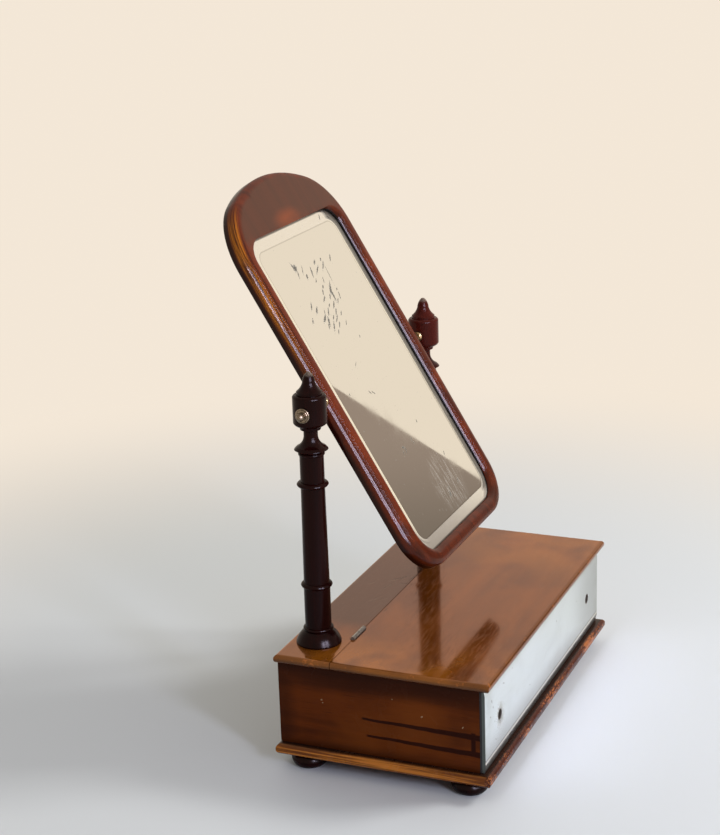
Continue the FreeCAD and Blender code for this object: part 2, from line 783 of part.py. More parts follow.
# ---------------------------------------------------------------------------------------------------
# Swing mirror, modelled upright about its pivot axis and then leaned back
# ---------------------------------------------------------------------------------------------------
def lean(obj):
    """Leans a piece of the mirror back about the pivot axis."""
    turn(obj, (-1, 0, 0), S.mirror_tilt.value)
    bind(obj, "Placement.Rotation.Angle", S.mirror_tilt)
    return place(obj, Size.of(0), post_y, pivot_z)


def arched_outline(inset):
    """The frame's outline, inset all round: flat arch, round shoulders, straight sides, round corners."""
    half = S.frame_width / 2 - inset
    top = S.frame_rise - inset
    bottom = -S.frame_drop + inset
    arch = S.frame_arch_radius - inset
    shoulder = S.frame_shoulder_radius - inset
    corner = S.frame_corner_radius - inset
    reach = arch - shoulder
    across = half - shoulder
    rise = (reach * reach - across * across).root()
    shoulder_z = top - arch + rise
    join_x = across * arch / reach
    join_z = top - arch + rise * arch / reach
    return [(half, bottom + corner), (half, shoulder_z, shoulder), (join_x, join_z, arch),
            (-join_x, join_z, shoulder), (-half, shoulder_z), (-half, bottom + corner, corner),
            (-half + corner, bottom), (half - corner, bottom, corner)]


def sight_outline(outset):
    """The opening's outline, made larger all round."""
    half = S.frame_width / 2 - S.frame_member + outset
    top = S.frame_rise - S.frame_crest + outset
    bottom = -S.frame_drop + S.frame_member - outset
    shoulder = S.sight_shoulder_radius + outset
    corner = S.frame_corner_radius - S.frame_member + outset
    return [(half, bottom + corner), (half, top - shoulder, shoulder), (half - shoulder, top),
            (-half + shoulder, top, shoulder), (-half, top - shoulder), (-half, bottom + corner, corner),
            (-half + corner, bottom), (half - corner, bottom, corner)]


frame = doc.addObject("PartDesign::Body", "Frame")
none = Size.of(0)
pad(frame, draw(sketch_on(frame, "XZ_Plane", -frame_back_depth), arched_outline(none)), S.frame_thickness)
pocket(frame, draw(sketch_on(frame, "XZ_Plane", S.frame_pivot_depth), sight_outline(none)), S.frame_thickness)
pocket(frame, draw(sketch_on(frame, "XZ_Plane", -frame_back_depth), sight_outline(S.glass_rebate)),
       S.frame_thickness - S.glass_set_back, forward=True)
pocket(frame, draw(sketch_on(frame, "XZ_Plane", -frame_back_depth), sight_outline(S.mirror_back_rebate)),
       S.mirror_back_rim, forward=True)
doc.recompute()

front_y = -S.frame_pivot_depth.value
back_y = frame_back_depth.value
outer_half = S.frame_width.value / 2
sight_half = outer_half - S.frame_member.value
sight_top = S.frame_rise.value - S.frame_crest.value
shoulder_start = sight_top - S.sight_shoulder_radius.value


def is_outer(bounds):
    """The outline's edges reach past the opening on one side or above or below it."""
    return (max(abs(bounds.XMin), abs(bounds.XMax)) > sight_half + 0.5 * S.frame_member.value
            or bounds.ZMin > sight_top + 0.5 or bounds.ZMax < -S.frame_drop.value + 0.5)


radii = []
for number, edge in enumerate(frame.Shape.Edges, start=1):
    bounds = edge.BoundBox
    if bounds.YLength > 0.01:
        continue
    if abs(bounds.YMin - front_y) < 0.01:
        if is_outer(bounds):
            radii.append((number, S.frame_outer_round.value, S.frame_outer_round.value))
        elif bounds.ZMin > sight_top - 0.01:
            radii.append((number, S.frame_crest_arris.value, S.frame_crest_arris.value))
        elif bounds.ZMax > sight_top - 0.01:
            start, finish = edge.Vertexes[0].Point.z, edge.Vertexes[-1].Point.z
            small, large = S.frame_crest_arris.value, S.frame_inner_round.value
            radii.append((number, small, large) if start > finish else (number, large, small))
        else:
            radii.append((number, S.frame_inner_round.value, S.frame_inner_round.value))
    elif abs(bounds.YMin - back_y) < 0.01 and is_outer(bounds):
        recess_half = sight_half + S.mirror_back_rebate.value
        if max(abs(bounds.XMin), abs(bounds.XMax)) > recess_half + 0.5 or bounds.ZMin > sight_top + 0.5 * (
                S.frame_crest.value + S.mirror_back_rebate.value) or bounds.ZMax < -S.frame_drop.value + 0.5:
            radii.append((number, S.frame_back_arris.value, S.frame_back_arris.value))
frame_rounded = rounded(frame, radii)

mirror_screws = []
screw_inset = (S.glass_rebate + S.mirror_back_rebate) / 2
half_sight = S.frame_width / 2 - S.frame_member
sight_low = -S.frame_drop + S.frame_member
sight_high = S.frame_rise - S.frame_crest
sight_length = sight_high - sight_low
for side, sign in SIDES:
    for share in (0.2, 0.5, 0.8):
        mirror_screws.append((sign * (half_sight + screw_inset), sight_low + sight_length * share))
mirror_screws += [(none, sight_high + screw_inset), (none, sight_low - screw_inset)]
mirror_screws = group([screw(S.mirror_screw_length, S.mirror_screw_radius, S.mirror_screw_head_radius,
                             S.mirror_screw_head_depth, x, frame_back_depth, z, "-y") for x, z in mirror_screws])
node(lean(group([mirror_screws])), "mirror_back_screws")

sockets = [cylinder(S.bush_spigot_radius, S.bush_spigot_length, none + S.frame_width / 2 - S.bush_spigot_length,
                    none, none, "x"),
           cylinder(S.bush_spigot_radius, S.bush_spigot_length, -S.frame_width / 2, none, none, "x")]
node(lean(cut(frame_rounded, group([mirror_screws] + sockets))), "mirror_frame")

glass = doc.addObject("PartDesign::Body", "Glass")
glass_front = S.frame_pivot_depth - S.glass_set_back
glass_outline = sight_outline(S.glass_rebate - S.glass_clearance)
pad(glass, draw(sketch_on(glass, "XZ_Plane", glass_front - S.glass_thickness), glass_outline), S.glass_thickness)
doc.recompute()
bevel(glass, S.glass_bevel_width, S.glass_thickness - S.glass_edge_thickness, is_level(-glass_front.value))
node(lean(glass), "mirror_glass")

back = doc.addObject("PartDesign::Body", "Back")
pad(back, draw(sketch_on(back, "XZ_Plane", -frame_back_depth),
               sight_outline(S.mirror_back_rebate - S.mirror_back_clearance)), S.mirror_back_rim)
field_depth = frame_back_depth + glass_front - S.glass_thickness - S.mirror_back_clearance
pad(back, draw(sketch_on(back, "XZ_Plane", -frame_back_depth),
               sight_outline(S.glass_rebate - S.glass_clearance)), field_depth)
doc.recompute()
node(lean(cut(back, mirror_screws)), "mirror_back")


# ---------------------------------------------------------------------------------------------------
# Pivots: a brass bush on each side of the frame, and a thumb screw through each post into it
# ---------------------------------------------------------------------------------------------------
def bush_profile():
    """From the spigot inside the frame out to the collar beside the post."""
    eye = S.thumb_shank_radius + S.running_clearance
    gap = (post_spacing - S.frame_width) / 2 - S.post_drum_radius - S.pivot_clearance
    waist = S.bush_flange_thickness + 1.5
    return [(eye, -S.bush_spigot_length),
            (S.bush_spigot_radius, -S.bush_spigot_length),
            (S.bush_spigot_radius, none),
            (S.bush_flange_radius, none),
            (S.bush_flange_radius, S.bush_flange_thickness),
            (S.bush_neck_radius, waist),
            (S.bush_neck_radius, gap - S.bush_collar_length - 1),
            (S.bush_collar_radius, gap - S.bush_collar_length),
            (S.bush_collar_radius, gap - 1),
            (S.bush_collar_radius - 1, gap),
            (eye, gap)]


def thumb_profile():
    """From the shank's tip inside the bush out to the round knob."""
    reach = post_spacing / 2 + S.post_drum_radius + S.pivot_clearance - S.frame_width / 2 + S.thumb_shank_reach
    flange_top = S.thumb_flange_thickness
    step_top = flange_top + S.thumb_step_thickness
    knob = S.thumb_knob_radius
    knob_base = (knob * knob - S.thumb_neck_radius * S.thumb_neck_radius).root()
    return [(none, -reach),
            (S.thumb_shank_radius, -reach),
            (S.thumb_shank_radius, none),
            (S.thumb_flange_radius, none),
            (S.thumb_flange_radius, flange_top * 0.6, flange_top * 0.5),
            (S.thumb_flange_radius - flange_top * 0.4, flange_top),
            (S.thumb_step_radius, flange_top),
            (S.thumb_step_radius, flange_top + S.thumb_step_thickness * 0.6, S.thumb_step_thickness * 0.5),
            (S.thumb_step_radius - S.thumb_step_thickness * 0.4, step_top),
            (S.thumb_neck_radius, step_top, knob),
            (knob, step_top + knob_base, knob),
            (none, step_top + knob_base + knob)]


for side, sign in SIDES:
    facing = ((0, 1, 0), 90 * sign)
    bush = turn(turned(bush_profile()), *facing)
    node(place(bush, sign * S.frame_width / 2, post_y, pivot_z), "pivot_bush_%s" % side)
    thumb = turn(turned(thumb_profile()), *facing)
    outer = post_spacing / 2 + S.post_drum_radius + S.pivot_clearance
    node(place(thumb, sign * outer, post_y, pivot_z), "thumb_screw_%s" % side)

# ---------------------------------------------------------------------------------------------------
# Check and write
# ---------------------------------------------------------------------------------------------------
doc.recompute()
for obj in doc.Objects:
    if "Invalid" in obj.State or "Error" in obj.State:
        raise RuntimeError("object %s (%s) is %s" % (obj.Name, obj.Label, obj.State))
for obj in nodes:
    if obj.Shape.isNull() or not obj.Shape.isValid() or not obj.Shape.Solids:
        raise RuntimeError("sub-part %s has no valid solid" % obj.Label)

os.makedirs("parts", exist_ok=True)
for obj in nodes:
    obj.Shape.exportStep("parts/%s.step" % obj.Label)
whole = Part.makeCompound([obj.Shape for obj in nodes]).BoundBox
print("%d sub-parts" % len(nodes), whole)
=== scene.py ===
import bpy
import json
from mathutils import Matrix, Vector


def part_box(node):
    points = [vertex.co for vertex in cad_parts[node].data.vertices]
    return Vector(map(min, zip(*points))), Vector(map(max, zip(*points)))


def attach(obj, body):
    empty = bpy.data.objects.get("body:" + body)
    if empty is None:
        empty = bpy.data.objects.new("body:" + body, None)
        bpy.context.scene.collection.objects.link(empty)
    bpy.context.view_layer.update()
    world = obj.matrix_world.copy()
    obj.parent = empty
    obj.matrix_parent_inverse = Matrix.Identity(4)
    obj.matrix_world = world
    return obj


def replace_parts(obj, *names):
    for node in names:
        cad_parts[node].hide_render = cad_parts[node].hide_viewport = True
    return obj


bl_info = {
    "name": "Dressing mirror",
    "version": (1, 0, 0),
    "blender": (4, 5, 0),
    "location": "3D View > Sidebar > Dressing mirror",
    "description": "Finishes, small fittings and studio for a swing mirror on a box with a drawer",
    "category": "Object",
}

import json
import math
from functools import partialmethod

import bpy
from mathutils import Matrix, Vector

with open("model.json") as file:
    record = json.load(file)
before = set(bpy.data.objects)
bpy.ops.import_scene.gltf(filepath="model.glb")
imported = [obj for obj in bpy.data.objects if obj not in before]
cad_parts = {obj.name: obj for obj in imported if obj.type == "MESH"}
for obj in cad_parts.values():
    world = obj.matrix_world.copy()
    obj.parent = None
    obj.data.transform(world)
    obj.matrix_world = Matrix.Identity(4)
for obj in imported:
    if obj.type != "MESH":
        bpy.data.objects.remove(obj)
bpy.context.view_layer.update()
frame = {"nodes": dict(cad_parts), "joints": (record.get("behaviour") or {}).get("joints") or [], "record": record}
MM = 0.001


# ---- Places read from the frame ----------------------------------
def joint_place(name):
    joint = next(joint for joint in frame["joints"] if joint["name"] == name)
    return Vector(joint["pos_m"])


def mount_place(name):
    mount = next(mount for mount in frame["record"]["mounts"] if mount["name"] == name)
    return Vector(mount["pos_m"])


PIVOT = joint_place("mirror_tilt")


# ---- Sizes and colours that a user would change ------------------
def colour(name, description, default):
    return bpy.props.FloatVectorProperty(name=name, description=description, default=default, size=3,
                                         subtype="COLOR", min=0.0, max=1.0)


def length(name, description, default):
    return bpy.props.FloatProperty(name=name, description=description, default=default * MM, min=0.0,
                                   unit="LENGTH")


class MirrorSizes(bpy.types.PropertyGroup):
    lean: bpy.props.FloatProperty(name="Mirror lean", description="How far the mirror leans back at rest",
                                  default=math.radians(30.94), subtype="ANGLE")
    glass_bevel: length("Glass bevel", "Width of the bevel ground round the swing mirror's glass", 18.8)
    plate_bevel: length("Plate bevel", "Width of the bevel ground along the foot of the drawer's plate", 8.5)
    base_screw: length("Base screw head", "Radius of the screw heads under the base", 3.6)
    back_screw: length("Back screw head", "Radius of the screw heads in the mirror's back", 2.0)
    hinge_screw: length("Hinge screw head", "Radius of the screw heads in the hinges", 1.8)


class MirrorColours(bpy.types.PropertyGroup):
    top_light: colour("Top, light", "Light figure of the lid and the rear strip", (0.205, 0.058, 0.007))
    top_dark: colour("Top, dark", "Dark figure of the lid and the rear strip", (0.062, 0.015, 0.002))
    side_light: colour("Side, light", "Light figure of the side panels", (0.125, 0.026, 0.003))
    side_dark: colour("Side, dark", "Dark figure of the side panels", (0.040, 0.008, 0.002))
    base_light: colour("Base, light", "Light figure of the base board", (0.170, 0.040, 0.008))
    base_dark: colour("Base, dark", "Dark figure of the base board", (0.050, 0.007, 0.003))
    worn_wood: colour("Worn wood", "Wood where the polish has gone", (0.420, 0.125, 0.022))
    post_light: colour("Posts, light", "Light figure of the turned posts and feet", (0.016, 0.0022, 0.0018))
    post_dark: colour("Posts, dark", "Dark figure of the turned posts and feet", (0.006, 0.001, 0.001))
    frame_light: colour("Frame, light", "Light figure of the mirror frame", (0.150, 0.021, 0.004))
    frame_dark: colour("Frame, dark", "Dark figure of the mirror frame", (0.036, 0.006, 0.003))
    frame_gold: colour("Frame, rubbed", "Rubbed golden band along the frame's outside", (0.600, 0.190, 0.014))
    plain_light: colour("Inside, light", "Light figure of the unpolished boards", (0.470, 0.290, 0.140))
    plain_dark: colour("Inside, dark", "Dark figure of the unpolished boards", (0.260, 0.140, 0.060))
    silver: colour("Mirror glass", "Silvered glass of the swing mirror", (0.880, 0.860, 0.790))
    plate: colour("Drawer glass", "Silvered glass on the drawer front", (0.850, 0.890, 0.860))
    brass: colour("Brass", "Aged brass of the thumb screws", (0.225, 0.180, 0.130))
    bright_brass: colour("Rubbed brass", "Rubbed brass of the pivot bushes", (0.300, 0.215, 0.110))
    hinge: colour("Hinges", "Worn metal of the butt hinges", (0.400, 0.385, 0.350))
    floor: colour("Floor", "Floor of the studio", (0.650, 0.705, 0.770))
    backdrop: colour("Backdrop", "Pale backdrop round the floor", (0.900, 0.800, 0.680))


# ---- Helpers for node trees --------------------------------------
COLUMN_WIDTH = 180


class Tree:
    """Adds and joins the nodes of one shader or geometry tree in few words."""

    def __init__(self, tree):
        self.tree = tree
        self.column = 0

    def node(self, kind, inputs=None, **settings):
        made = self.tree.nodes.new(kind)
        made.location = (self.column * COLUMN_WIDTH, 0)
        self.column += 1
        for name, value in settings.items():
            setattr(made, name, value)
        for name, value in (inputs or {}).items():
            self.feed(made.inputs[name], value)
        return made

    def feed(self, socket, value):
        """Joins a socket or a node's first output, or else sets a constant."""
        if isinstance(value, bpy.types.NodeSocket):
            self.tree.links.new(value, socket)
        elif isinstance(value, bpy.types.Node):
            self.tree.links.new(value.outputs[0], socket)
        elif hasattr(value, "__len__") and len(value) == 3 and socket.type == "RGBA":
            socket.default_value = (*value, 1.0)
        else:
            socket.default_value = value

    def math(self, operation, first, *others, clamp=False):
        """Joins the values from the left; a single value goes through the operation alone."""
        for other in others or (0.0,):
            first = self.node("ShaderNodeMath", {0: first, 1: other, 2: 0.0}, operation=operation,
                              use_clamp=clamp).outputs[0]
        return first

    times = partialmethod(math, "MULTIPLY")
    plus = partialmethod(math, "ADD")
    minus = partialmethod(math, "SUBTRACT")
    per = partialmethod(math, "DIVIDE")
    most = partialmethod(math, "MAXIMUM")
    least = partialmethod(math, "MINIMUM")
    size = partialmethod(math, "ABSOLUTE")

    def step(self, value, low, high, first=0.0, last=1.0):
        """Smooth change from first to last while value goes from low to high."""
        inputs = {"Value": value, "From Min": low, "From Max": high, "To Min": first, "To Max": last}
        return self.node("ShaderNodeMapRange", inputs, interpolation_type="SMOOTHSTEP").outputs[0]

    def mix(self, factor, first, second):
        """Mixes two colours; the sockets of a colour mix stand after those of the number and vector mixes."""
        return self.node("ShaderNodeMix", {0: factor, 6: first, 7: second}, data_type="RGBA").outputs[2]

    def band(self, value, middle, inner, outer, strength=1.0):
        """Full within the inner distance of a middle value, gone at the outer one."""
        return self.step(self.size(self.minus(value, middle)), inner, outer, strength, 0.0)

    def layers(self, tone, *rows):
        """Lays colours over a tone, from the bottom up; each row is a mask, its strength and a colour."""
        for mask, strength, colour in rows:
            tone = self.mix(mask if strength == 1.0 else self.times(mask, strength), tone, colour)
        return tone

    def noise(self, vector, scale, detail=3.0, roughness=0.5, distortion=0.0):
        made = self.node("ShaderNodeTexNoise", {"Vector": vector, "Scale": scale, "Detail": detail,
                                                "Roughness": roughness, "Distortion": distortion})
        return made.outputs["Fac"]

    def stretch(self, vector, scale, location=(0, 0, 0), rotation=(0, 0, 0)):
        made = self.node("ShaderNodeMapping", {"Vector": vector, "Location": location, "Rotation": rotation,
                                               "Scale": scale})
        return made.outputs[0]

    def parts(self, vector):
        return self.node("ShaderNodeSeparateXYZ", {"Vector": vector}).outputs


def empty_nodes(owner):
    """The node tree of a new material or world, cleared."""
    owner.use_nodes = True
    owner.node_tree.nodes.clear()
    return owner.node_tree


GROUPS = {}


class Group(Tree):
    """A shared node group; its sockets are given as a label, a kind and, for some, a default."""

    def __init__(self, kind, name, inputs, outputs):
        super().__init__(bpy.data.node_groups.new(name, kind))
        GROUPS[name] = self.tree
        self.names = {}
        for way, sockets in (("INPUT", inputs), ("OUTPUT", outputs)):
            for label, socket_kind, *default in sockets:
                socket = self.tree.interface.new_socket(label, in_out=way,
                                                        socket_type="NodeSocket" + socket_kind)
                if default:
                    socket.default_value = default[0]
                self.names[label] = socket.identifier
        self.enter = self.node("NodeGroupInput").outputs


def wood_figure_group():
    """Grain that runs along X of the vector: figure, dark pores and their height."""
    t = Group(
        "ShaderNodeTree", "Wood figure",
        [("Vector", "Vector"), ("Light", "Color", (0.3, 0.1, 0.03, 1)),
         ("Dark", "Color", (0.1, 0.03, 0.01, 1)), ("Figure scale", "Float", 40.0), ("Figure", "Float", 1.0),
         ("Pores", "Float", 0.5)],
        [("Color", "Color"), ("Pore mask", "Float"), ("Height", "Float")])
    enter = t.enter
    along = t.stretch(enter["Vector"], (0.06, 1.0, 1.0))
    ribbon = t.noise(along, enter["Figure scale"], 5.0, 0.55, 0.8)
    cloud = t.noise(t.stretch(enter["Vector"], (0.5, 1.0, 1.0)), 9.0, 3.0, 0.5, 0.3)
    share = t.plus(t.times(ribbon, 0.6), t.times(cloud, 0.4))
    figure = t.times(t.step(share, 0.36, 0.66), enter["Figure"], clamp=True)
    tone = t.mix(figure, enter["Light"], enter["Dark"])
    streak = t.noise(t.stretch(enter["Vector"], (45.0, 1400.0, 1400.0)), 1.0, 1.0, 0.4)
    pore = t.times(t.step(streak, 0.60, 0.70), enter["Pores"])
    toned = t.layers(tone, (pore, 0.75, enter["Dark"]))
    t.node("NodeGroupOutput", {"Color": toned, "Pore mask": pore, "Height": t.times(pore, -1.0)})


def polish_group():
    """Old hand polish: roughness with smears and fine scratches, and the gentle waves of its surface."""
    t = Group(
        "ShaderNodeTree", "Old polish",
        [("Vector", "Vector"), ("Roughness", "Float", 0.2), ("Smears", "Float", 0.5)],
        [("Roughness", "Float"), ("Height", "Float")])
    enter = t.enter
    smear = t.step(t.noise(enter["Vector"], 28.0, 4.0, 0.6, 0.6), 0.42, 0.72)
    drawn = t.stretch(enter["Vector"], (60.0, 900.0, 900.0), rotation=(0.1, 0.2, 0.5))
    scratch = t.step(t.noise(drawn, 1.0, 2.0), 0.62, 0.74)
    added = t.plus(t.times(smear, 0.16), t.times(scratch, 0.12))
    rough = t.plus(enter["Roughness"], t.times(added, enter["Smears"]))
    t.node("NodeGroupOutput", {"Roughness": rough, "Height": t.noise(enter["Vector"], 45.0, 2.0, 0.5)})


def speckle_group():
    """Wear that breaks up into flecks: a mask in, a flecked mask out."""
    t = Group(
        "ShaderNodeTree", "Flecked wear",
        [("Vector", "Vector"), ("Where", "Float", 1.0), ("Amount", "Float", 0.5),
         ("Fleck scale", "Float", 400.0)],
        [("Mask", "Float")])
    enter = t.enter
    broad = t.noise(enter["Vector"], 30.0, 3.0, 0.6)
    fleck = t.noise(enter["Vector"], enter["Fleck scale"], 3.0, 0.65)
    mixed = t.plus(t.times(broad, 0.55), t.times(fleck, 0.45))
    limit = t.minus(0.78, t.times(enter["Amount"], 0.42))
    hit = t.times(t.minus(mixed, limit), 18.0, clamp=True)
    t.node("NodeGroupOutput", {"Mask": t.times(hit, enter["Where"], clamp=True)})


def torn_mark_group():
    """One long oval mark with a torn edge, such as a lifted fleck, a scratch or a bruise."""
    t = Group(
        "ShaderNodeTree", "Torn mark",
        [("Vector", "Vector"), ("Centre", "Vector", (0, 0, 0)), ("Reach", "Vector", (0.001, 1.0, 0.004)),
         ("Turn", "Vector", (0, 0, 0)), ("Torn", "Float", 0.5)],
        [("Mask", "Float")])
    enter = t.enter
    moved = t.node("ShaderNodeVectorMath", {0: enter["Vector"], 1: enter["Centre"]}, operation="SUBTRACT")
    turned = t.node("ShaderNodeVectorRotate", {"Vector": moved, "Rotation": enter["Turn"]},
                    rotation_type="EULER_XYZ")
    scaled = t.node("ShaderNodeVectorMath", {0: turned, 1: enter["Reach"]}, operation="DIVIDE")
    away = t.node("ShaderNodeVectorMath", {0: scaled}, operation="LENGTH").outputs["Value"]
    torn = t.times(t.minus(enter["Torn"], 0.5), 3.2)
    inside = t.minus(t.plus(1.0, torn), away)
    t.node("NodeGroupOutput", {"Mask": t.times(inside, 3.0, clamp=True)})


def patina_group():
    """Tarnish on old metal: darker, rougher clouds and fine pits."""
    t = Group(
        "ShaderNodeTree", "Patina",
        [("Vector", "Vector"), ("Metal", "Color", (0.5, 0.3, 0.1, 1)),
         ("Tarnish", "Color", (0.1, 0.08, 0.05, 1)), ("Amount", "Float", 0.5), ("Roughness", "Float", 0.3)],
        [("Color", "Color"), ("Roughness", "Float"), ("Height", "Float")])
    enter = t.enter
    cloud = t.noise(enter["Vector"], 350.0, 4.0, 0.65)
    pits = t.step(t.noise(enter["Vector"], 1800.0, 2.0), 0.60, 0.72)
    veil = t.times(t.step(cloud, 0.38, 0.66), enter["Amount"], clamp=True)
    t.node("NodeGroupOutput", {"Color": t.mix(veil, enter["Metal"], enter["Tarnish"]),
                               "Roughness": t.plus(enter["Roughness"], t.times(veil, 0.25)),
                               "Height": t.times(pits, -1.0)})


class Finish(Tree):
    """The nodes of one material, round its Principled shader and the piece's Object coordinates."""

    def __init__(self, name):
        self.made = bpy.data.materials.new(name)
        super().__init__(empty_nodes(self.made))
        self.shader = self.node("ShaderNodeBsdfPrincipled")
        self.output = self.node("ShaderNodeOutputMaterial", {"Surface": self.shader.outputs["BSDF"]})
        self.place = self.node("ShaderNodeTexCoord").outputs["Object"]

    def group(self, name, **inputs):
        """Places a shared group; underscores in an input's name stand for spaces."""
        made = self.node("ShaderNodeGroup", node_tree=GROUPS[name])
        for key, value in inputs.items():
            self.feed(made.inputs[key.replace("_", " ")], value)
        return made.outputs

    def set(self, **inputs):
        """Sets or joins inputs of the shader; underscores stand for spaces."""
        for key, value in inputs.items():
            self.feed(self.shader.inputs[key.replace("_", " ")], value)

    def gloss(self, specular, coat=0.0, coat_roughness=0.1, tint=(1.0, 1.0, 1.0)):
        """The values of a finish that are the same all over it."""
        self.set(IOR=1.5, Specular_IOR_Level=specular, Specular_Tint=tint, Coat_Weight=coat,
                 Coat_Roughness=coat_roughness)

    def bump(self, height, distance, strength=1.0, under=None):
        """Puts a relief on the shader, over an earlier one if given; returns its normal."""
        made = self.node("ShaderNodeBump", {"Height": height, "Distance": distance, "Strength": strength})
        if under is not None:
            self.feed(made.inputs["Normal"], under)
        self.set(Normal=made)
        return made.outputs[0]

    def wood(self, figure, tone, polish):
        """Joins a wood's colour, polish and relief to the shader; returns the relief."""
        self.set(Base_Color=tone, Roughness=polish["Roughness"])
        waves = self.bump(polish["Height"], 0.06 * MM)
        return self.bump(figure["Height"], 0.10 * MM, 0.6, waves)

    def paint(self, *nodes):
        """Puts the material on CAD nodes."""
        for name in nodes:
            materials = frame["nodes"][name].data.materials
            materials.clear()
            materials.append(self.made)


# For each plane: the axes of across and up, of a mark's length and width, and the one it is turned about.
PLANES = {"XZ": (0, 2, 2, 0, 1), "YZ": (1, 2, 1, 2, 0), "XY": (0, 1, 0, 1, 2)}


def marks(t, vector, torn, rows, plane="XZ"):
    """Union of torn marks; each row is across, up, half length, half width and turn, in mm and degrees."""
    axis_across, axis_up, axis_long, axis_wide, axis_turn = PLANES[plane]
    masks = []
    for across, up, half_length, half_width, turn in rows:
        centre, reach, spin = [0.0] * 3, [1.0] * 3, [0.0] * 3
        centre[axis_across], centre[axis_up] = across * MM, up * MM
        reach[axis_long], reach[axis_wide] = half_length * MM, half_width * MM
        spin[axis_turn] = math.radians(turn)
        mark = t.group("Torn mark", Vector=vector, Centre=centre, Reach=reach, Turn=spin, Torn=torn)
        masks.append(mark["Mask"])
    return t.most(*masks)


# Turns of the coordinates that lay the grain, which runs along X, along Y or Z.
ALONG_Y = (0, 0, math.radians(90))
ALONG_Z = (0, math.radians(90), 0)


# ---- Woods -------------------------------------------------------
LID_SCRATCHES = (
    (-39, 24, 8, 1.4, 25), (-39, 16, 6, 1.0, 40), (-3, 25, 9, 1.3, 15), (12, 9, 7, 1.0, 70),
    (22, 23, 8, 1.3, 30), (30, 16, 7, 1.2, 20), (2, 46, 4, 0.9, 30), (34, 6, 8, 0.8, 5),
    (-66, 1, 5, 0.8, 0), (-128, -58, 3, 0.6, 60), (70, -75, 4, 0.6, 20))
SIDE_BRUISES = (
    (18.5, 83.0, 1.4, 0.9, 0), (17.0, 80.0, 0.8, 0.6, 30), (-94.7, 81.2, 1.5, 0.8, 40),
    (-139.5, 76.0, 1.6, 0.6, 70), (-62.0, 96.0, 0.7, 0.5, 0))


def top_wood(colours):
    """Golden brown french polish of the lid and the rear strip, glossy enough to mirror what stands on it."""
    t = Finish("top_wood")
    place = t.place
    x, y, z = t.parts(place)
    low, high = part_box("lid")
    figure = t.group("Wood figure", Vector=place, Light=colours.top_light, Dark=colours.top_dark,
                     Figure_scale=26.0, Figure=0.80, Pores=0.45)
    blush = t.step(t.noise(place, 11.0, 4.0, 0.6, 0.4), 0.48, 0.70)
    # Painted light: the near end is painted lighter as sunlight on it, and the far end lighter as the bright room
    # mirrored in it.
    near = t.times(t.step(x, -0.110, -0.195), t.step(t.noise(place, 20.0, 3.0), 0.30, 0.60))
    far = t.times(t.step(x, 0.020, 0.180), t.step(t.noise(place, 14.0, 3.0), 0.30, 0.60))
    shifted = t.stretch(place, (1.0, 1.6, 1.0), location=(0.3, 0.1, 0.0))
    cloud = t.step(t.noise(shifted, 8.0, 3.0, 0.5), 0.50, 0.66)
    # The nosing is darker, with the polish worn through along its crest.
    front, ends = t.minus(y, low[1]), t.minus(high[0], t.size(x))
    edge = t.step(t.least(ends, front), 0.0015, 0.0060, 1.0, 0.0)
    under = t.step(z, high[2] - 0.0035, high[2] - 0.0060)
    wear = t.group("Flecked wear", Vector=place, Where=edge, Amount=0.50, Fleck_scale=260.0)["Mask"]
    # Painted shadow: the fixed strip is darkened where the mirror's shadow falls, except at its left end.
    strip_shadow = t.times(t.step(y, high[1], high[1] + 0.002), t.step(x, -0.135, -0.100))
    scratches = marks(t, place, t.noise(place, 900.0, 2.0, 0.6), LID_SCRATCHES, "XY")
    prick = t.step(t.noise(place, 520.0, 1.0), 0.735, 0.765)
    tone = t.layers(
        figure["Color"],
        (blush, 0.55, (0.225, 0.064, 0.006)), (near, 0.65, (0.380, 0.125, 0.010)),
        (far, 0.60, (0.330, 0.115, 0.014)), (cloud, 0.45, colours.top_dark),
        (edge, 0.45, (0.070, 0.018, 0.004)), (wear, 0.75, colours.worn_wood),
        (under, 0.55, (0.028, 0.006, 0.002)), (strip_shadow, 0.92, (0.022, 0.009, 0.005)),
        (scratches, 0.8, (0.012, 0.005, 0.003)), (prick, 0.55, (0.020, 0.006, 0.002)))
    relief = t.wood(figure, tone, t.group("Old polish", Vector=place, Roughness=0.09, Smears=0.35))
    t.bump(t.times(scratches, -1.0), 0.5 * MM, 1.0, relief)
    t.gloss(0.95, 0.30, 0.06, (1.0, 0.50, 0.20))
    t.set(Metallic=0.36)
    t.paint("lid", "rear_strip")


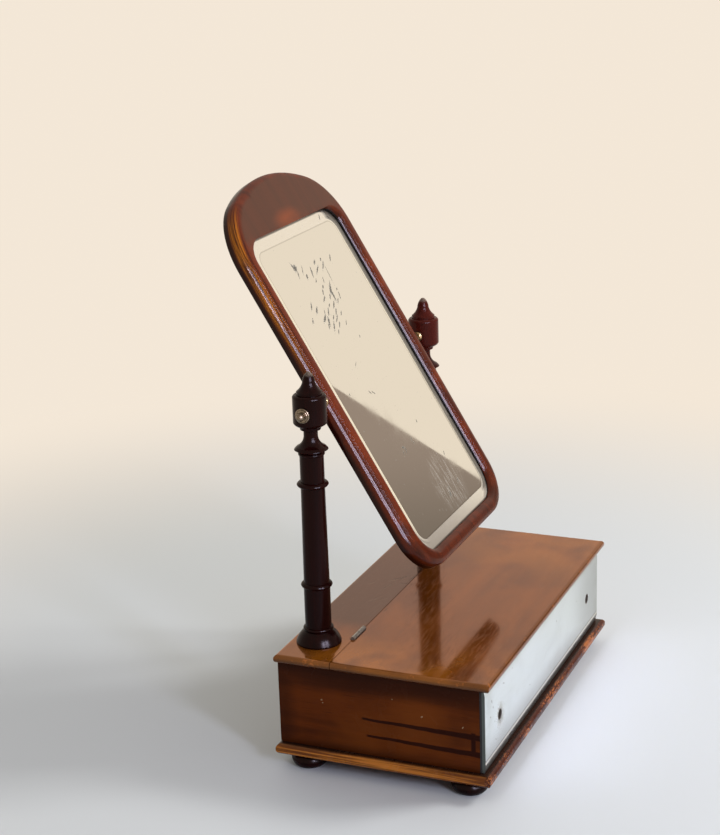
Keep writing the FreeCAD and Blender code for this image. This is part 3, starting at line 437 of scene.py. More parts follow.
def side_wood(colours):
    """Dark side panels, golden in the middle and darker at the edges with painted shade under the lid, with two
    old runs of stain.
    """
    t = Finish("side_wood")
    place = t.place
    x, y, z = t.parts(place)
    low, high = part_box("left_side")
    grain = t.stretch(place, (1, 1, 1), rotation=ALONG_Y)
    figure = t.group("Wood figure", Vector=grain, Light=colours.side_light, Dark=colours.side_dark,
                     Figure_scale=34.0, Figure=0.85, Pores=0.6)
    glow = t.times(t.step(t.noise(grain, 9.0, 3.0, 0.5), 0.42, 0.66),
                   t.step(z, high[2] - 0.008, high[2] - 0.040))
    # Painted shade: the panel darkens along its top under the lid; it also darkens towards its foot and its back
    # edge.
    edge_shade = t.most(t.step(z, high[2] - 0.030, high[2] - 0.004), t.step(z, low[2] + 0.012, low[2], 0.0, 0.6),
                   t.step(y, high[1] - 0.028, high[1] - 0.004, 0.0, 0.7))
    wavy_edge_shade = t.plus(edge_shade, t.times(t.minus(t.noise(grain, 16.0), 0.5), 0.7), clamp=True)
    # Two runs of dark stain that widen towards the front and meet in a drip there.
    wobble = t.times(t.minus(t.noise(grain, 38.0, 2.0), 0.5), 0.0022)
    runs = []
    for middle, fall, start in ((0.0688, 0.0148, -0.0251), (0.0500, 0.0195, -0.0301)):
        along = t.minus(start, y)
        centre = t.minus(t.minus(middle, t.times(along, fall)), wobble)
        off = t.size(t.minus(z, centre))
        line = t.step(t.per(off, t.plus(0.0014, t.times(along, 0.0160))), 0.75, 1.15, 1.0, 0.0)
        runs.append(t.times(line, t.step(along, 0.0, 0.004)))
    drip = t.times(t.band(y, -0.1508, 0.0016, 0.0034), t.band(z, 0.0590, 0.0115, 0.0135))
    stain = t.times(t.most(*runs, drip), t.step(x, -0.20, -0.205))
    bruises = marks(t, place, t.noise(place, 1100.0, 2.0, 0.6), SIDE_BRUISES, "YZ")
    tone = t.layers(
        figure["Color"],
        (glow, 0.55, (0.210, 0.052, 0.006)), (wavy_edge_shade, 0.85, (0.022, 0.005, 0.002)),
        (stain, 0.90, (0.016, 0.002, 0.001)), (bruises, 0.75, (0.420, 0.310, 0.190)))
    t.wood(figure, tone, t.group("Old polish", Vector=grain, Roughness=0.20, Smears=0.7))
    t.gloss(0.05, 0.0, 0.08)
    t.paint("left_side", "right_side")


def base_wood(colours):
    """Base board: golden and streaky along its ends, dark red and rubbed in flecks along its front."""
    t = Finish("base_wood")
    place = t.place
    x, y, z = t.parts(place)
    low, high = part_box("base_board")
    figure = t.group("Wood figure", Vector=place, Light=colours.base_light, Dark=colours.base_dark,
                     Figure_scale=60.0, Figure=0.8, Pores=0.5)
    front, side = t.minus(y, low[1]), t.minus(high[0], t.size(x))
    front_edge = t.step(front, 0.004, 0.0075, 1.0, 0.0)
    side_edge = t.step(side, 0.003, 0.0065, 1.0, 0.0)
    streak = t.noise(t.stretch(place, (60.0, 9.0, 420.0)), 1.0, 3.0, 0.6)
    end_tone = t.mix(t.step(streak, 0.38, 0.62), (0.620, 0.215, 0.030), (0.150, 0.042, 0.006))
    worn_front = t.group("Flecked wear", Vector=t.stretch(place, (0.45, 1.0, 1.0)), Where=front_edge,
                         Amount=0.62, Fleck_scale=520.0)["Mask"]
    worn_side = t.group("Flecked wear", Vector=place, Where=side_edge, Amount=0.40, Fleck_scale=240.0)["Mask"]
    arris = t.times(t.step(z, low[2] + 0.0035, low[2] + 0.0012), side_edge)
    # Painted shade on the base's top, in the gap behind its front and end edges.
    crevice_shade = t.times(t.step(z, high[2] - 0.0015, high[2]),
                      t.step(t.least(front, t.plus(side, 0.004)), 0.0030, 0.0050))
    tone = t.layers(
        figure["Color"],
        (side_edge, 0.90, end_tone), (front_edge, 0.85, (0.040, 0.007, 0.005)),
        (worn_front, 0.85, (0.400, 0.125, 0.035)), (worn_side, 0.65, colours.worn_wood),
        (arris, 0.65, (0.030, 0.006, 0.002)), (crevice_shade, 0.85, (0.008, 0.006, 0.005)))
    t.wood(figure, tone, t.group("Old polish", Vector=place, Roughness=0.24, Smears=0.8))
    t.gloss(0.14, 0.05, 0.12)
    t.paint("base_board")


def turned_wood(colours):
    """Near-black glossy polish of the posts and the feet, with the lathe's faint rings, rubbed flecks and a
    painted highlight on the tips.
    """
    t = Finish("turned_wood")
    place = t.place
    x, _, z = t.parts(place)
    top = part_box("post_left")[1].z
    grain = t.stretch(place, (1, 1, 1), rotation=ALONG_Z)
    figure = t.group("Wood figure", Vector=grain, Light=colours.post_light, Dark=colours.post_dark,
                     Figure_scale=90.0, Figure=0.9, Pores=0.4)
    redder = t.times(t.step(x, 0.05, 0.10), t.step(z, top - 0.075, top - 0.055, 0.35, 1.0))
    rubbed = t.group("Flecked wear", Vector=place, Where=1.0, Amount=0.12, Fleck_scale=500.0)["Mask"]
    # Painted highlight: the finial tips are painted pale as a glint.
    tip_glint = t.step(z, top - 0.0050, top - 0.0015)
    tone = t.layers(
        figure["Color"], (redder, 0.8, (0.085, 0.011, 0.007)), (rubbed, 0.6, (0.120, 0.030, 0.014)),
        (tip_glint, 0.75, (0.230, 0.180, 0.150)))
    polish = t.group("Old polish", Vector=place, Roughness=0.20, Smears=0.45)
    rings = t.node("ShaderNodeTexNoise", {"W": t.times(z, 900.0), "Scale": 1.0, "Detail": 1.0},
                   noise_dimensions="1D").outputs["Fac"]
    t.set(Base_Color=tone, Roughness=polish["Roughness"])
    waves = t.bump(polish["Height"], 0.04 * MM)
    t.bump(rings, 0.015 * MM, 1.0, waves)
    t.gloss(0.075, 0.0, 0.05)
    t.paint("post_left", "post_right", *(name for name in frame["nodes"] if name.startswith("foot_")))


def leaned(t, sizes):
    """The swing mirror's own upright axes about its pivot: across, back and up."""
    turn = Matrix.Rotation(sizes.lean, 3, "X")
    return t.stretch(t.place, (1, 1, 1), location=-(turn @ PIVOT), rotation=(sizes.lean, 0, 0))


def length_of(t, a, b):
    """Length of a vector with two parts."""
    return t.math("SQRT", t.plus(t.times(a, a), t.times(b, b)))


# The frame's arched outline: half its width, the crest above the pivot, the arch's radius and the shoulders'.
HALF, RISE, ARCH, SHOULDER = 0.1315, 0.2444, 0.2275, 0.0730


def from_outline(t, u, v):
    """How far a point lies inside the frame's arched outline."""
    side = t.size(u)
    turn_at = HALF - SHOULDER
    turn_up = RISE - ARCH + math.sqrt((ARCH - SHOULDER) ** 2 - turn_at ** 2)
    from_arch = t.minus(ARCH, length_of(t, u, t.minus(v, RISE - ARCH)))
    past = t.most(t.minus(v, turn_up), 0.0)
    out = t.most(t.minus(side, turn_at), 0.0)
    from_shoulder = t.minus(SHOULDER, length_of(t, out, past))
    gate = t.minus(1.0, t.math("GREATER_THAN", side, turn_at))
    return t.least(from_arch, t.minus(HALF, side), t.plus(from_shoulder, gate))


def frame_wood(colours, sizes):
    """Red-brown mirror frame: painted reflection on the plain crest, painted shade behind, a golden rubbed band
    outside.
    """
    t = Finish("frame_wood")
    upright = leaned(t, sizes)
    u, w, v = t.parts(upright)
    along = t.stretch(upright, (1, 1, 1), rotation=ALONG_Z)
    figure = t.group("Wood figure", Vector=along, Light=colours.frame_light, Dark=colours.frame_dark,
                     Figure_scale=60.0, Figure=0.80, Pores=0.4)
    inside = from_outline(t, u, v)
    # Painted reflection: the plain crest is painted grey-brown as the room mirrored in its polish.
    crest = t.times(t.step(v, 0.172, 0.190), t.step(inside, 0.004, 0.009))
    near = length_of(t, t.per(t.plus(u, 0.008), 0.044), t.per(t.minus(v, 0.189), 0.017))
    patchy = t.step(t.noise(t.stretch(upright, (0.6, 1.0, 2.4)), 34.0, 4.0), 0.25, 0.70, 0.35, 1.0)
    glow = t.times(t.step(near, 1.0, 0.1), patchy)
    ember = t.times(t.step(t.noise(along, 30.0, 3.0, 0.6), 0.50, 0.68), 0.6, t.step(v, 0.19, 0.15))
    foot = t.times(t.step(v, -0.150, -0.205), t.step(t.noise(along, 55.0, 3.0, 0.6), 0.34, 0.60, 0.35, 1.0))
    # The golden band is widest at the left shoulder and thins out downwards.
    reach = t.times(t.step(v, -0.01, 0.13), t.step(u, 0.02, -0.02, 0.55, 1.0))
    drawn = t.node("ShaderNodeCombineXYZ", {0: t.times(inside, 900.0), 1: t.times(w, 900.0),
                                            2: t.times(v, 22.0)})
    streaks = t.noise(drawn, 1.0, 3.0, 0.6)
    gold = t.mix(t.step(streaks, 0.38, 0.62), colours.frame_gold, (0.075, 0.016, 0.003))
    band = t.times(t.step(inside, 0.0042, 0.0012), reach,
                   t.times(t.step(w, 0.0055, 0.0010), t.step(v, 0.228, 0.200)))
    groove = t.times(t.band(inside, 0.0046, 0.0004, 0.0012), t.step(v, 0.02, 0.10), t.step(v, 0.205, 0.180))
    # Painted shade on the back part of the frame, in the posts' dark colour.
    behind = t.step(w, 0.0010, 0.0065)
    # Painted shade on the rebate's inner wall beside the glass.
    rebate_wall_shade = t.times(t.step(inside, 0.0125, 0.0145), t.step(w, -0.0044, -0.0030))
    tone = t.layers(
        figure["Color"],
        (crest, 0.80, (0.082, 0.030, 0.016)), (glow, 0.60, (0.280, 0.055, 0.012)),
        (ember, 1.0, (0.200, 0.030, 0.005)), (foot, 0.55, (0.040, 0.009, 0.004)), (band, 0.95, gold),
        (groove, 0.6, (0.014, 0.003, 0.002)), (behind, 0.85, colours.post_dark),
        (rebate_wall_shade, 0.95, (0.006, 0.004, 0.004)))
    polish = t.group("Old polish", Vector=upright, Roughness=0.17, Smears=0.08)
    t.set(Base_Color=tone, Roughness=polish["Roughness"])
    # The moulding's shoulder is rounder than its section, so its light lies further out.
    past = t.most(t.plus(w, 2.0 * MM), 0.0)
    bend = t.minus(w, t.per(t.times(past, past), 20.0 * MM))
    rounder = t.bump(t.times(bend, 0.577 / MM), 1.0 * MM)
    t.bump(polish["Height"], 0.03 * MM, 1.0, rounder)
    t.gloss(0.14, 0.03, 0.07)
    t.paint("mirror_frame")


def board(name, light, dark, scale, grime_tone, roughness):
    """One unpolished, grimy board."""
    t = Finish(name)
    figure = t.group("Wood figure", Vector=t.place, Light=light, Dark=dark, Figure_scale=scale, Figure=0.8,
                     Pores=0.6)
    grime = t.step(t.noise(t.place, 11.0, 4.0, 0.6), 0.45, 0.75)
    t.wood(figure, t.layers(figure["Color"], (grime, 0.45, grime_tone)),
           t.group("Old polish", Vector=t.place, Roughness=roughness, Smears=0.6))
    t.gloss(0.35)
    return t


def plain_woods(colours):
    """Waxed boards of the drawer, stained boards of the carcass and the black backing of the plate."""
    drawer = board("drawer_wood", colours.plain_light, colours.plain_dark, 70.0, (0.120, 0.065, 0.030), 0.55)
    drawer.paint("drawer_front", "drawer_side_left", "drawer_side_right", "drawer_back", "drawer_bottom")
    carcass = board("carcass_wood", (0.240, 0.120, 0.050), (0.100, 0.045, 0.020), 55.0,
                    (0.050, 0.025, 0.012), 0.50)
    carcass.paint("back_panel", "front_rail", "tray_floor", "tray_back", "tray_ledge_left",
                  "tray_ledge_right", "post_block_left", "post_block_right", "mirror_back")
    t = Finish("black_backing")
    mottle = t.noise(t.place, 180.0, 3.0, 0.6)
    t.set(Base_Color=t.mix(mottle, (0.004, 0.004, 0.004), (0.016, 0.013, 0.012)),
          Roughness=t.step(mottle, 0.3, 0.7, 0.55, 0.75))
    t.bump(mottle, 0.1 * MM)
    t.gloss(0.30)
    t.paint("plate_backing")


# ---- Glass and metal ---------------------------------------------
# Torn flecks of the silvering: across and up from the pivot, half length, half width and turn.
FLECKS = (
    (-38.7, 137.1, 5.2, 3.6, -40), (-41.5, 139.5, 5.5, 1.5, 20), (-39.3, 129.2, 4.9, 1.2, -25),
    (-25.8, 131.8, 5.6, 0.8, -35), (-23.8, 123.1, 3.9, 1.8, -35), (-8.9, 124.9, 6.9, 1.5, -25),
    (9, 133.6, 3.9, 1.5, -52), (5.9, 124.5, 7.8, 1.3, -60), (24.9, 133.1, 2.9, 1.3, -45),
    (23, 125.8, 7.5, 1.2, -52), (24.8, 114.8, 12.2, 0.6, -8), (47.6, 129.7, 5.2, 1.2, -45),
    (-3.3, 104.9, 3.2, 1.2, -52), (-9.5, 99.9, 4.2, 1.3, -35), (-15.1, 92.6, 5.5, 1.3, -60),
    (9.5, 98.5, 8.1, 2.2, -45), (8.5, 92.2, 10.6, 2, -8), (23.1, 95.3, 3.2, 0.9, -60),
    (21.7, 88.5, 6.1, 0.9, -25), (-10.3, 114.3, 3.2, 0.9, -52), (6, 111.3, 3.9, 0.9, -25),
    (-50.2, 92.3, 5.9, 1.2, -45), (-44.1, 85.6, 5.5, 1.7, -52), (-64.5, 77.8, 4.2, 1.2, -45),
    (-37.3, 73.7, 7.5, 1.7, -60), (-32.3, 68.9, 7.1, 2, -35), (-27.7, 60.9, 8.5, 1.3, -45),
    (-12.6, 66.9, 7.5, 1, -60), (-22, 78, 6.1, 1.2, -45), (-2, 82, 7.1, 1.2, -52), (14, 37.2, 2.1, 1, -45),
    (-28.3, 13.6, 4.9, 0.5, -60), (-32.5, -20.5, 0.9, 3.4, -60), (-25.5, -23, 0.9, 3.7, -45),
    (30.5, -77.5, 2.1, 0.9, -30), (-3, -90, 3.6, 0.7, -30), (-2, -94.5, 1.6, 1, -30),
    (-30, -91.5, 1.5, 3, -30), (-27.5, -95.5, 4.5, 0.8, -30), (-35, -96.5, 3.6, 0.7, -30),
    (50, -126, 3.2, 0.8, -30), (13, -166, 4.5, 2, -30), (17, -160, 3.2, 0.9, -45), (45, -161, 4.2, 1, -45),
    (76, 176, 4.9, 0.9, -45), (-76, -10, 2, 0.6, -60), (-14, 60, 5.2, 1, -50), (-6, 74, 6, 1.1, -48),
    (3, 70, 4.2, 0.9, -55), (-30, 80, 4, 0.9, -40), (-18, 70, 5, 0.9, -52), (2, 58, 3.8, 0.8, -45),
    (12, 84, 4.5, 0.9, -50), (-38, 64, 4.2, 1, -35), (-12, 84, 4, 0.9, -60), (0, 92, 4.5, 1, -48),
    (14, 104, 5.2, 0.9, -50), (-24, 54, 3.8, 0.9, -50))
PLATE_SPOTS = (
    (-188, 100, 2.4, 0.8, 20), (-184, 92, 1.6, 0.7, 0), (-192, 84, 1.2, 0.9, 0), (-120, 108, 1.0, 0.8, 0),
    (-60, 62, 0.9, 0.8, 0), (40, 96, 1.2, 0.7, 0), (-176, 52, 1.4, 0.6, 60), (120, 88, 1.0, 0.8, 0),
    (-150, 104, 3.0, 0.4, 70))
# Painted reflected lines along the plate's foot: height above it and half width in mm, strength and tone.
PLATE_REFLECTION_LINES = (
    (13.3, 0.9, 0.70, (0.120, 0.105, 0.090)), (10.9, 1.7, 0.90, (0.780, 0.720, 0.600)),
    (8.9, 0.9, 0.85, (0.040, 0.035, 0.032)))
# Edges of the swing glass about the pivot, left, right, bottom and top, its corner radius, and the bevel of
# the solid, which lies within the strip that shows.
GLASS_EDGES = (-0.1188, 0.1188, -0.2039, 0.1877)
GLASS_CORNER = 33.0 * MM
CUT_BEVEL = 14.0 * MM
BRASS_TARNISH = (0.085, 0.062, 0.040)


def from_rim(t, across, up, box, corner):
    """Distance inwards from the edge of a plate with round corners; box is left, right, bottom and top."""
    left, right, bottom, top = box
    x = t.minus(t.size(t.minus(across, (left + right) / 2)), (right - left) / 2 - corner)
    y = t.minus(t.size(t.minus(up, (bottom + top) / 2)), (top - bottom) / 2 - corner)
    outer = length_of(t, t.most(x, 0.0), t.most(y, 0.0))
    inner = t.least(t.most(x, y), 0.0)
    return t.minus(corner, t.plus(outer, inner))


def swing_glass(colours, sizes):
    """Bevelled silvered glass with a painted reflection along its bevel, and the silvering lifting in torn flecks.
    """
    t = Finish("swing_glass")
    upright = leaned(t, sizes)
    u, _, v = t.parts(upright)
    rim = from_rim(t, u, v, GLASS_EDGES, GLASS_CORNER)
    flecks = marks(t, upright, t.noise(upright, 700.0, 3.0, 0.7), FLECKS)
    decay = t.most(flecks, t.times(t.step(t.noise(upright, 420.0, 1.0), 0.775, 0.80), 0.45))
    # A dull haze with fine rubbing near the foot of the glass.
    low_right = t.group("Torn mark", Vector=upright, Centre=(0.022, 0, -0.155), Reach=(0.040, 1.0, 0.042),
                        Turn=(0, 0.5, 0), Torn=0.5)["Mask"]
    rubbing = t.step(t.noise(t.stretch(upright, (300.0, 1.0, 45.0), rotation=(0, 0.55, 0)), 1.0, 3.0, 0.6),
                     0.42, 0.72)
    haze = t.times(low_right, rubbing, 0.17)
    # Painted reflection: the bevel shows as a pale strip, paler at the top; on the right it is grey behind a thin
    # pale line.
    bevel = sizes.glass_bevel
    strip = t.step(rim, bevel + 0.3 * MM, bevel - 0.3 * MM)
    upper = t.mix(t.step(v, 0.135, 0.175), (0.80, 0.74, 0.58), (0.89, 0.86, 0.78))
    lower = t.mix(t.step(u, 0.095, -0.080), (0.74, 0.70, 0.60), (0.47, 0.43, 0.37))
    pale = t.mix(t.step(v, -0.150, -0.185), upper, lower)
    # A painted grey line marks the bevel's arris.
    arris = t.band(rim, bevel + 0.4 * MM, 0.0003, 0.0011)
    right = t.times(t.step(u, 0.085, 0.095), t.step(v, -0.196, -0.186))
    grey = t.times(t.step(rim, bevel - 2.0 * MM, bevel - 3.2 * MM), right)
    fine = t.noise(t.stretch(upright, (900.0, 1.0, 30.0)), 1.0, 2.0)
    grey_tone = t.mix(t.step(fine, 0.4, 0.6), (0.075, 0.068, 0.058), (0.190, 0.175, 0.150))
    # Painted shadow of the frame along the glass's edge.
    rebate_shadow = t.step(rim, 0.0066, 0.0052)
    tone = t.layers(
        colours.silver,
        (haze, 1.0, (0.95, 0.93, 0.88)), (strip, 0.85, pale), (arris, 0.35, (0.30, 0.28, 0.24)),
        (grey, 0.92, grey_tone), (rebate_shadow, 0.75, (0.045, 0.035, 0.028)),
        (decay, 0.92, (0.050, 0.046, 0.036)))
    # The metal is dulled where the bevel's reflection is painted, so that the painted tone shows.
    painted_bevel_dull = t.times(strip, t.step(v, 0.135, 0.175, 0.50, 0.12))
    dull = t.most(t.times(decay, 0.9), t.times(haze, 1.2), t.plus(painted_bevel_dull, t.times(grey, 0.45)))
    cloud = t.noise(upright, 18.0, 4.0, 0.6)
    rough = t.plus(t.step(cloud, 0.4, 0.8, 0.015, 0.05), t.times(decay, 0.3), t.times(strip, 0.10))
    t.set(Base_Color=tone, Metallic=t.minus(1.0, dull, clamp=True), Roughness=rough)
    # Seen through its front, the bevel throws its picture inwards.
    climb = t.times(t.most(t.minus(bevel, rim), 0.0), 0.075 / MM)
    ground = t.times(t.most(t.minus(CUT_BEVEL, rim), 0.0), 0.142 / MM)
    t.bump(t.plus(climb, ground), 1.0 * MM)
    t.paint("mirror_glass")


def drawer_glass(colours, sizes):
    """Old silvered plate on the drawer: green-grey ends, a bevelled foot painted with reflections and shade, and
    ground holes.
    """
    t = Finish("drawer_glass")
    place = t.place
    x, _, z = t.parts(place)
    low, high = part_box("front_mirror_plate")
    veil = t.step(t.noise(t.stretch(place, (1.0, 1.0, 2.2)), 9.0, 5.0, 0.65, 0.6), 0.40, 0.75)
    torn = t.noise(place, 800.0, 3.0, 0.7)
    spots = marks(t, place, torn, PLATE_SPOTS)
    decay = t.most(spots, t.times(t.step(t.noise(place, 360.0, 1.0), 0.775, 0.80), 0.45))
    tarnish = t.most(t.step(t.size(x), 0.176, 0.205), t.step(z, high[2] - 0.016, high[2]))
    cloud = t.step(t.noise(place, 22.0, 3.0, 0.6), 0.35, 0.65)
    # Painted reflection of the dark base: the plate darkens towards its foot; it also darkens towards its right
    # end.
    foot = t.most(t.step(z, low[2] + 0.040, low[2] + 0.008), t.step(x, 0.080, 0.190, 0.0, 0.9))
    # Ground bevel along the foot, painted as the dark reflection of the base's ledge, under painted reflected
    # lines: a cream one between two dark ones.
    up = t.minus(z, low[2])
    bevel = sizes.plate_bevel
    strip = t.step(up, bevel + 0.2 * MM, bevel - 0.2 * MM)
    shadow = t.mix(t.step(up, 0.0, bevel), (0.012, 0.011, 0.010), (0.130, 0.125, 0.115))
    lines = [(t.band(up, middle * MM, reach * 0.6 * MM, reach * MM, strength), 1.0, shade)
             for middle, reach, strength, shade in PLATE_REFLECTION_LINES]
    ends = t.math("GREATER_THAN", t.size(x), high[0] - 0.1 * MM)
    middles = [mount_place(name) for name in ("knob_hole_left", "knob_hole_right")]
    bored = t.most(*(
        t.step(length_of(t, t.minus(x, middle.x), t.minus(z, middle.z)), 0.00575, 0.0066, 1.0, 0.0)
        for middle in middles))
    across, height = middles[0].x / MM, middles[0].z / MM
    chip = marks(t, place, torn, ((across + 1.5, height - 1.5, 13.5, 11.0, 10),
                                  (across - 4.4, height + 7.4, 2.6, 2.2, 30)))
    chip_tone = t.mix(t.step(torn, 0.35, 0.65), (0.06, 0.055, 0.05), (0.42, 0.43, 0.41))
    tone = t.layers(
        colours.plate,
        (veil, 0.30, (0.60, 0.63, 0.60)), (decay, 1.0, (0.14, 0.13, 0.11)),
        (t.times(tarnish, cloud), 0.45, (0.42, 0.45, 0.38)), (foot, 0.60, (0.31, 0.30, 0.28)),
        (strip, 0.95, shadow), *lines, (chip, 0.9, chip_tone), (bored, 1.0, (0.090, 0.070, 0.055)),
        (ends, 1.0, (0.055, 0.068, 0.060)))
    hole = t.most(bored, t.times(chip, 0.8))
    # The painted bevel strip is dulled too, so that its painted tone shows.
    ground = t.most(ends, hole, t.times(strip, 0.7))
    t.set(Base_Color=tone, Metallic=t.minus(1.0, t.most(ground, t.times(decay, 0.6))),
          Roughness=t.plus(t.step(veil, 0.0, 1.0, 0.06, 0.17), t.times(ground, 0.3)))
    t.paint("front_mirror_plate")


def metal(name, tone, tarnish, amount, roughness):
    """One old metal with clouds of tarnish and fine pits."""
    t = Finish(name)
    skin = t.group("Patina", Vector=t.place, Metal=tone, Tarnish=tarnish, Amount=amount, Roughness=roughness)
    t.set(Base_Color=skin["Color"], Roughness=skin["Roughness"], Metallic=1.0)
    t.bump(skin["Height"], 0.05 * MM)
    return t


def metals(colours):
    """Aged brass of the thumb screws, rubbed brass of the bushes and worn metal of the hinges."""
    def paint(start, made):
        made.paint(*(name for name in frame["nodes"] if name.startswith(start) and "screws" not in name))

    paint("thumb_screw", metal("aged_brass", colours.brass, BRASS_TARNISH, 0.75, 0.24))
    paint("pivot_bush", metal("rubbed_brass", colours.bright_brass, (0.260, 0.180, 0.090), 0.45, 0.22))
    paint("hinge_", metal("worn_hinge", colours.hinge, (0.110, 0.100, 0.085), 0.70, 0.30))


# ---- Geometry Nodes: the screws ----------------------------------
def slotted_screw_shape(finish):
    """A countersunk head with a sawn slot on every point, each turned its own way."""
    t = Group(
        "GeometryNodeTree", "Slotted screws",
        [("Geometry", "Geometry"), ("Head radius", "Float", 2.0 * MM), ("Head depth", "Float", 1.0 * MM),
         ("Slot width", "Float", 0.6 * MM), ("Slot depth", "Float", 0.5 * MM),
         ("Facing", "Vector", (0.0, 0.0, 1.0)), ("Seed", "Int", 4)],
        [("Geometry", "Geometry")])
    enter = t.enter
    radius, depth = enter["Head radius"], enter["Head depth"]
    head = t.node("GeometryNodeMeshCone", {"Vertices": 28, "Radius Top": radius,
                                           "Radius Bottom": t.times(radius, 0.5), "Depth": depth})
    sunk = t.node("ShaderNodeCombineXYZ", {"Z": t.times(depth, -1.0)})
    lowered = t.node("GeometryNodeTransform", {"Geometry": head, "Translation": sunk})
    size = t.node("ShaderNodeCombineXYZ", {"X": t.times(radius, 3.0), "Y": enter["Slot width"],
                                           "Z": t.times(enter["Slot depth"], 2.0)})
    saw = t.node("GeometryNodeMeshCube", {"Size": size})
    sawn = t.node("GeometryNodeMeshBoolean", {"Mesh 1": lowered, "Mesh 2": saw}, operation="DIFFERENCE",
                  solver="EXACT")
    turned = t.node("FunctionNodeRandomValue", {"Min": (0.0, 0.0, 0.0), "Max": (0.0, 0.0, math.pi),
                                                "Seed": enter["Seed"]}, data_type="FLOAT_VECTOR")
    twist = t.node("FunctionNodeEulerToRotation", {"Euler": turned})
    facing = t.node("FunctionNodeAlignRotationToVector", {"Vector": enter["Facing"]}, axis="Z")
    both = t.node("FunctionNodeRotateRotation", {"Rotation": facing, "Rotate By": twist},
                  rotation_space="LOCAL")
    placed = t.node("GeometryNodeInstanceOnPoints", {"Points": enter["Geometry"], "Instance": sawn,
                                                     "Rotation": both})
    real = t.node("GeometryNodeRealizeInstances", {"Geometry": placed})
    t.node("NodeGroupOutput", {0: t.node("GeometryNodeSetMaterial", {"Geometry": real, "Material": finish})})
    return t


def grown(name, shape, points, values, body):
    """Runs a geometry tree on a few points, keeps the result as a plain mesh, and lets it ride."""
    seed = bpy.data.meshes.new(name + "_points")
    seed.from_pydata([tuple(point) for point in points], [], [])
    holder = bpy.data.objects.new(name, seed)
    bpy.context.scene.collection.objects.link(holder)
    modifier = holder.modifiers.new("Shape", "NODES")
    modifier.node_group = shape.tree
    for label, value in values.items():
        modifier[shape.names[label]] = value
    bpy.context.view_layer.update()
    evaluated = holder.evaluated_get(bpy.context.evaluated_depsgraph_get())
    mesh = bpy.data.meshes.new_from_object(evaluated)
    if not mesh.polygons:
        raise RuntimeError(name + " has no faces")
    holder.modifiers.clear()
    holder.data = mesh
    bpy.data.meshes.remove(seed)
    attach(holder, body)
    return holder


# Screw places in mm: apart along the base's sides, across and up the mirror's back from the pivot, and across
# at the hinges; then how far the mirror's back lies behind the pivot.
BASE_SCREW_STEP = 85
BACK_SCREWS = [(x, v) for x in (-121.7, 121.7) for v in (-122.82, -8.1, 106.62)] + [(0, 190.6), (0, -206.8)]
HINGE_SCREWS = (-145.8, -126.8, 126.8, 145.8)
BACK_FACE = 10.5


def screws(sizes, colours):
    """Slotted heads in the base, in the mirror's back and in both leaves of each hinge."""
    dull_steel = metal("dull_steel", (0.330, 0.320, 0.310), (0.090, 0.060, 0.045), 0.8, 0.38)
    steel = slotted_screw_shape(dull_steel.made)
    screw_brass = metal("screw_brass", colours.brass, BRASS_TARNISH, 0.8, 0.30)
    brass = slotted_screw_shape(screw_brass.made)

    def row(node, shape, points, facing, head, depth, seed, body):
        values = {"Head radius": head, "Head depth": depth, "Slot width": 0.30 * head,
                  "Slot depth": 0.45 * depth, "Facing": facing, "Seed": seed}
        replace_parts(grown(node + "_slotted", shape, points, values, body), node)

    low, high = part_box("left_side")
    out, middle = abs(low.x + high.x) / 2, (low.y + high.y) / 2
    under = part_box("base_board")[0].z
    points = [(side * out, middle + step * BASE_SCREW_STEP * MM, under)
              for side in (-1, 1) for step in (-1, 0, 1)]
    row("base_screws", steel, points, (0.0, 0.0, -1.0), sizes.base_screw, 2.2 * MM, 3, "case")

    lean = Matrix.Rotation(-sizes.lean, 3, "X")
    points = [PIVOT + lean @ Vector((x, BACK_FACE, v)) * MM for x, v in BACK_SCREWS]
    row("mirror_back_screws", steel, points, tuple(lean @ Vector((0, 1, 0))), sizes.back_screw, 1.0 * MM, 5,
        "mirror")

    hinge = joint_place("lid_hinge")
    for node, body, side, seed in (("hinge_screws_strip", "case", 1, 7), ("hinge_screws_lid", "lid", -1, 9)):
        points = [(x * MM, hinge.y + side * 0.15 * MM, hinge.z - 4.6 * MM) for x in HINGE_SCREWS]
        row(node, brass, points, (0.0, -side, 0.0), sizes.hinge_screw, 0.8 * MM, seed, body)


# ---- Stage -------------------------------------------------------
# The camera: picture size and focal length in pixels, its three turns and its place.
IMAGE = (720, 835)
FOCAL_PIXELS = 1875.06
YAW, PITCH, ROLL = math.radians(23.113), math.radians(17.151), math.radians(-1.88)
EYE = Vector((-1.8475, -0.7359, 0.9499))


def camera():
    """A camera that looks along +X, a little to the back and down."""
    ahead = Vector((math.cos(YAW) * math.cos(PITCH), math.sin(YAW) * math.cos(PITCH), -math.sin(PITCH)))
    right = Vector((math.sin(YAW), -math.cos(YAW), 0.0))
    up = right.cross(ahead)
    across = right * math.cos(ROLL) + up * math.sin(ROLL)
    above = up * math.cos(ROLL) - right * math.sin(ROLL)
    data = bpy.data.cameras.new("camera")
    data.sensor_width = 36.0
    data.lens = FOCAL_PIXELS / max(IMAGE) * data.sensor_width
    data.clip_start = 0.05
    data.clip_end = 60.0
    eye = bpy.data.objects.new("camera", data)
    turn = Matrix((across, above, -ahead)).transposed()
    eye.matrix_world = Matrix.Translation(EYE) @ turn.to_4x4()
    bpy.context.scene.collection.objects.link(eye)
    bpy.context.scene.camera = eye


def sheet(name, corners, made):
    """One flat face of the studio."""
    mesh = bpy.data.meshes.new(name)
    mesh.from_pydata(corners, [], [(0, 1, 2, 3)])
    mesh.materials.append(made)
    flat = bpy.data.objects.new(name, mesh)
    bpy.context.scene.collection.objects.link(flat)
    return flat


